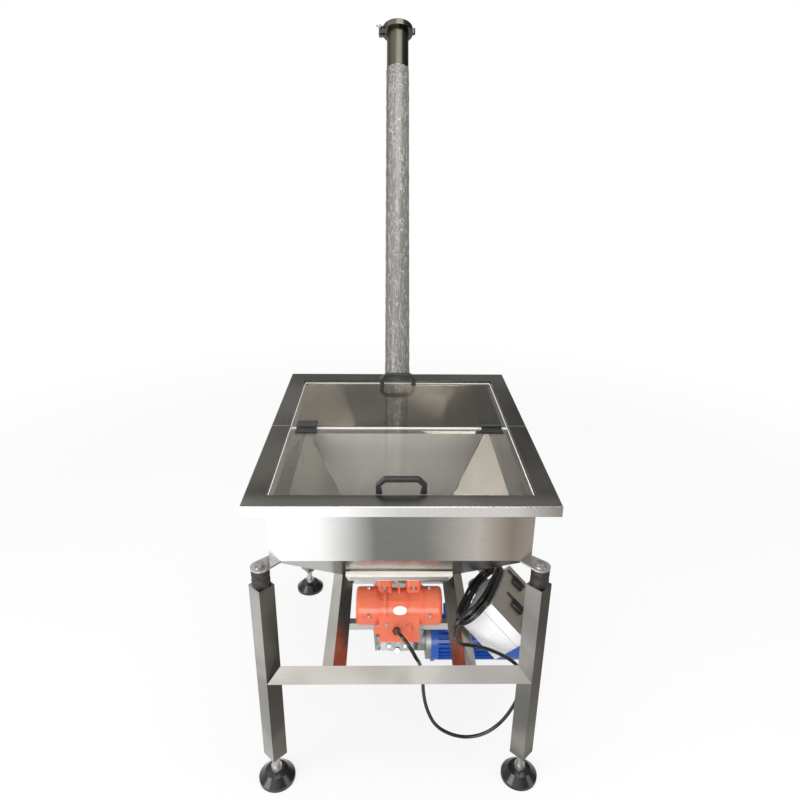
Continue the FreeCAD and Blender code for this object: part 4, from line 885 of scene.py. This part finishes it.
# Black straps with their blocks on the control box's door; places are across and along the door
doorTrim = {
    "places": ((0.041, 0.132), (0.064, 0.062)),
    "block": (0.034, 0.024, 0.011),
    "blockEdge": 0.003,
    "strap": (0.062, 0.006, 0.004),
    "strapEdge": 0.001,
    "strapAside": (-0.008, 0.015),
}


def makeDoorTrim():
    def bar(name, size, across, along, edge):
        middle = (across, along, size[2] / 2)
        return slab(name, size, middle, edge, finish["black"], "box_door", boxFrame)

    asideAcross, asideAlong = doorTrim["strapAside"]
    for number, (across, along) in enumerate(doorTrim["places"]):
        block = bar("doorBlock%d" % number, doorTrim["block"], across, along, doorTrim["blockEdge"])
        strap = bar("doorStrap%d" % number, doorTrim["strap"], across + asideAcross, along + asideAlong,
                    doorTrim["strapEdge"])
        joinedPieces([block, strap], "doorHardware%d" % number)


weldWithin = 0.00002  # the solids' facets come with split vertices


def makeMountRubbers():
    # A welded and smoothed copy of the rubber mounts, in place of the solid's own
    rubbers = bpy.data.objects.new("mountRubbers", nodes["rubber_mounts"].data.copy())
    bpy.context.scene.collection.objects.link(rubbers)
    onlySelect(rubbers)
    bpy.ops.object.mode_set(mode="EDIT")
    bpy.ops.mesh.select_all(action="SELECT")
    bpy.ops.mesh.remove_doubles(threshold=weldWithin)
    bpy.ops.object.mode_set(mode="OBJECT")
    rubbers.data.materials.clear()
    rubbers.data.materials.append(finish["rubber"])
    bpy.ops.object.shade_smooth_by_angle(angle=math.radians(40.0))
    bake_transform(rubbers)
    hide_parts("rubber_mounts")


makeCoverScrews()
makeMountRubbers()
makePaleOval()
makeMotorRibs()
makeDoorTrim()
print("trim fitted")


# Floor, world and lamps; mirrored in steel, the room is white at the left and brown at the right
mirrored = [(0.0, (1, 1, 1)), (0.36, (1, 1, 1)), (0.5, (0.5, 0.495, 0.48)), (0.72, (0.58, 0.56, 0.53)),
            (0.85, (0.30, 0.28, 0.25)), (1.0, (0.22, 0.20, 0.18))]
room = {
    "levels": [(0.0, 0.95), (0.50, 0.95), (0.56, 0.62), (0.68, 0.34), (0.76, 0.42), (0.83, 0.95), (1.0, 0.85)],
    "warmth": (1.0, 0.97, 0.93),
    "side": {"From Min": -0.55, "From Max": 0.75, "To Min": 1.25, "To Max": 0.22},
    "plain": 0.62,
}


def makeFloor():
    floor = added(bpy.ops.mesh.primitive_circle_add, vertices=64, radius=view["floorRadius"], fill_type="NGON",
                  location=(0, 0, view["floorLevel"]))
    floor.name = "floor"
    recipe = Recipe("paleFloor")
    x, y = recipe.split()[:2]
    distance = (x * x + y * y).maths("SQRT")
    lit = recipe.node("BsdfPrincipled", None, {"Base Color": (0.9, 0.9, 0.9, 1.0), "Roughness": 0.7})
    tint = recipe.node("ValToRGB", {"stops": mirrored}, {0: x * 0.5 + 0.5})
    tone = recipe.blend(recipe.rays("Glossy"), (1, 1, 1), tint)
    white = recipe.node("Emission", None, {"Color": tone, "Strength": 1.0})
    share = distance.step(view["fadeFrom"], view["fadeTo"]) * 0.2 + 0.8
    seen = recipe.rays("Camera", "Glossy", "Transmission") * share
    floor.data.materials.append(recipe.output(recipe.node("MixShader", None, {0: seen, 1: lit, 2: white})))


def makeWorld():
    # The camera sees plain white; mirrored and seen through the lids, it is a room with bands of light
    recipe = Recipe("softRoom", bpy.data.worlds)
    x, y, z = recipe.split(Wire(recipe, recipe.coords.outputs["Generated"]))
    bands = [(place, tuple(level * share for share in room["warmth"])) for place, level in room["levels"]]
    height = recipe.node("ValToRGB", {"stops": bands}, {0: z * 0.5 + 0.5})
    side = recipe.node("MapRange", {"interpolation_type": "SMOOTHSTEP"}, {"Value": x, **room["side"]})
    around = recipe.node("Background", None, {0: height, 1: side})
    plain = recipe.node("Background", None, {0: (1.0, 0.99, 0.98, 1.0), 1: room["plain"]})
    white = recipe.node("Background", None, {0: (1, 1, 1, 1)})
    unseen = recipe.node("MixShader", None, {0: recipe.rays("Glossy", "Transmission"), 1: plain, 2: around})
    mixed = recipe.node("MixShader", None, {0: recipe.rays("Camera"), 1: unseen, 2: white})
    recipe.node("OutputWorld", None, {"Surface": mixed})
    bpy.context.scene.world = recipe.made


def makeLamp(name, place, aim, size, power):
    bpy.ops.object.light_add(type="AREA", location=place)
    lamp = bpy.context.object
    lamp.name = name
    lamp.data.shape = "RECTANGLE"
    lamp.data.size, lamp.data.size_y = size
    lamp.data.energy = power
    lamp.rotation_mode = "QUATERNION"
    lamp.rotation_quaternion = (Vector(aim) - Vector(place)).to_track_quat("-Z", "Y")


makeFloor()
makeWorld()
makeLamp("windowLeft", (-2.6, -2.2, 2.0), (0, -0.3, 0.6), (1.6, 2.2), 46.0)
makeLamp("ceiling", (0.3, -0.6, 3.6), (0, -0.2, 0.6), (2.4, 1.6), 34.0)
makeLamp("fillRight", (2.4, -1.6, 1.6), (0, -0.3, 0.5), (1.2, 1.6), 12.0)
makeLamp("front", (-0.5, -3.3, 0.9), (0, -0.5, 0.4), (2.2, 1.2), 38.0)
print("stage lit")


# Bring the scene up to date
bpy.context.view_layer.update()
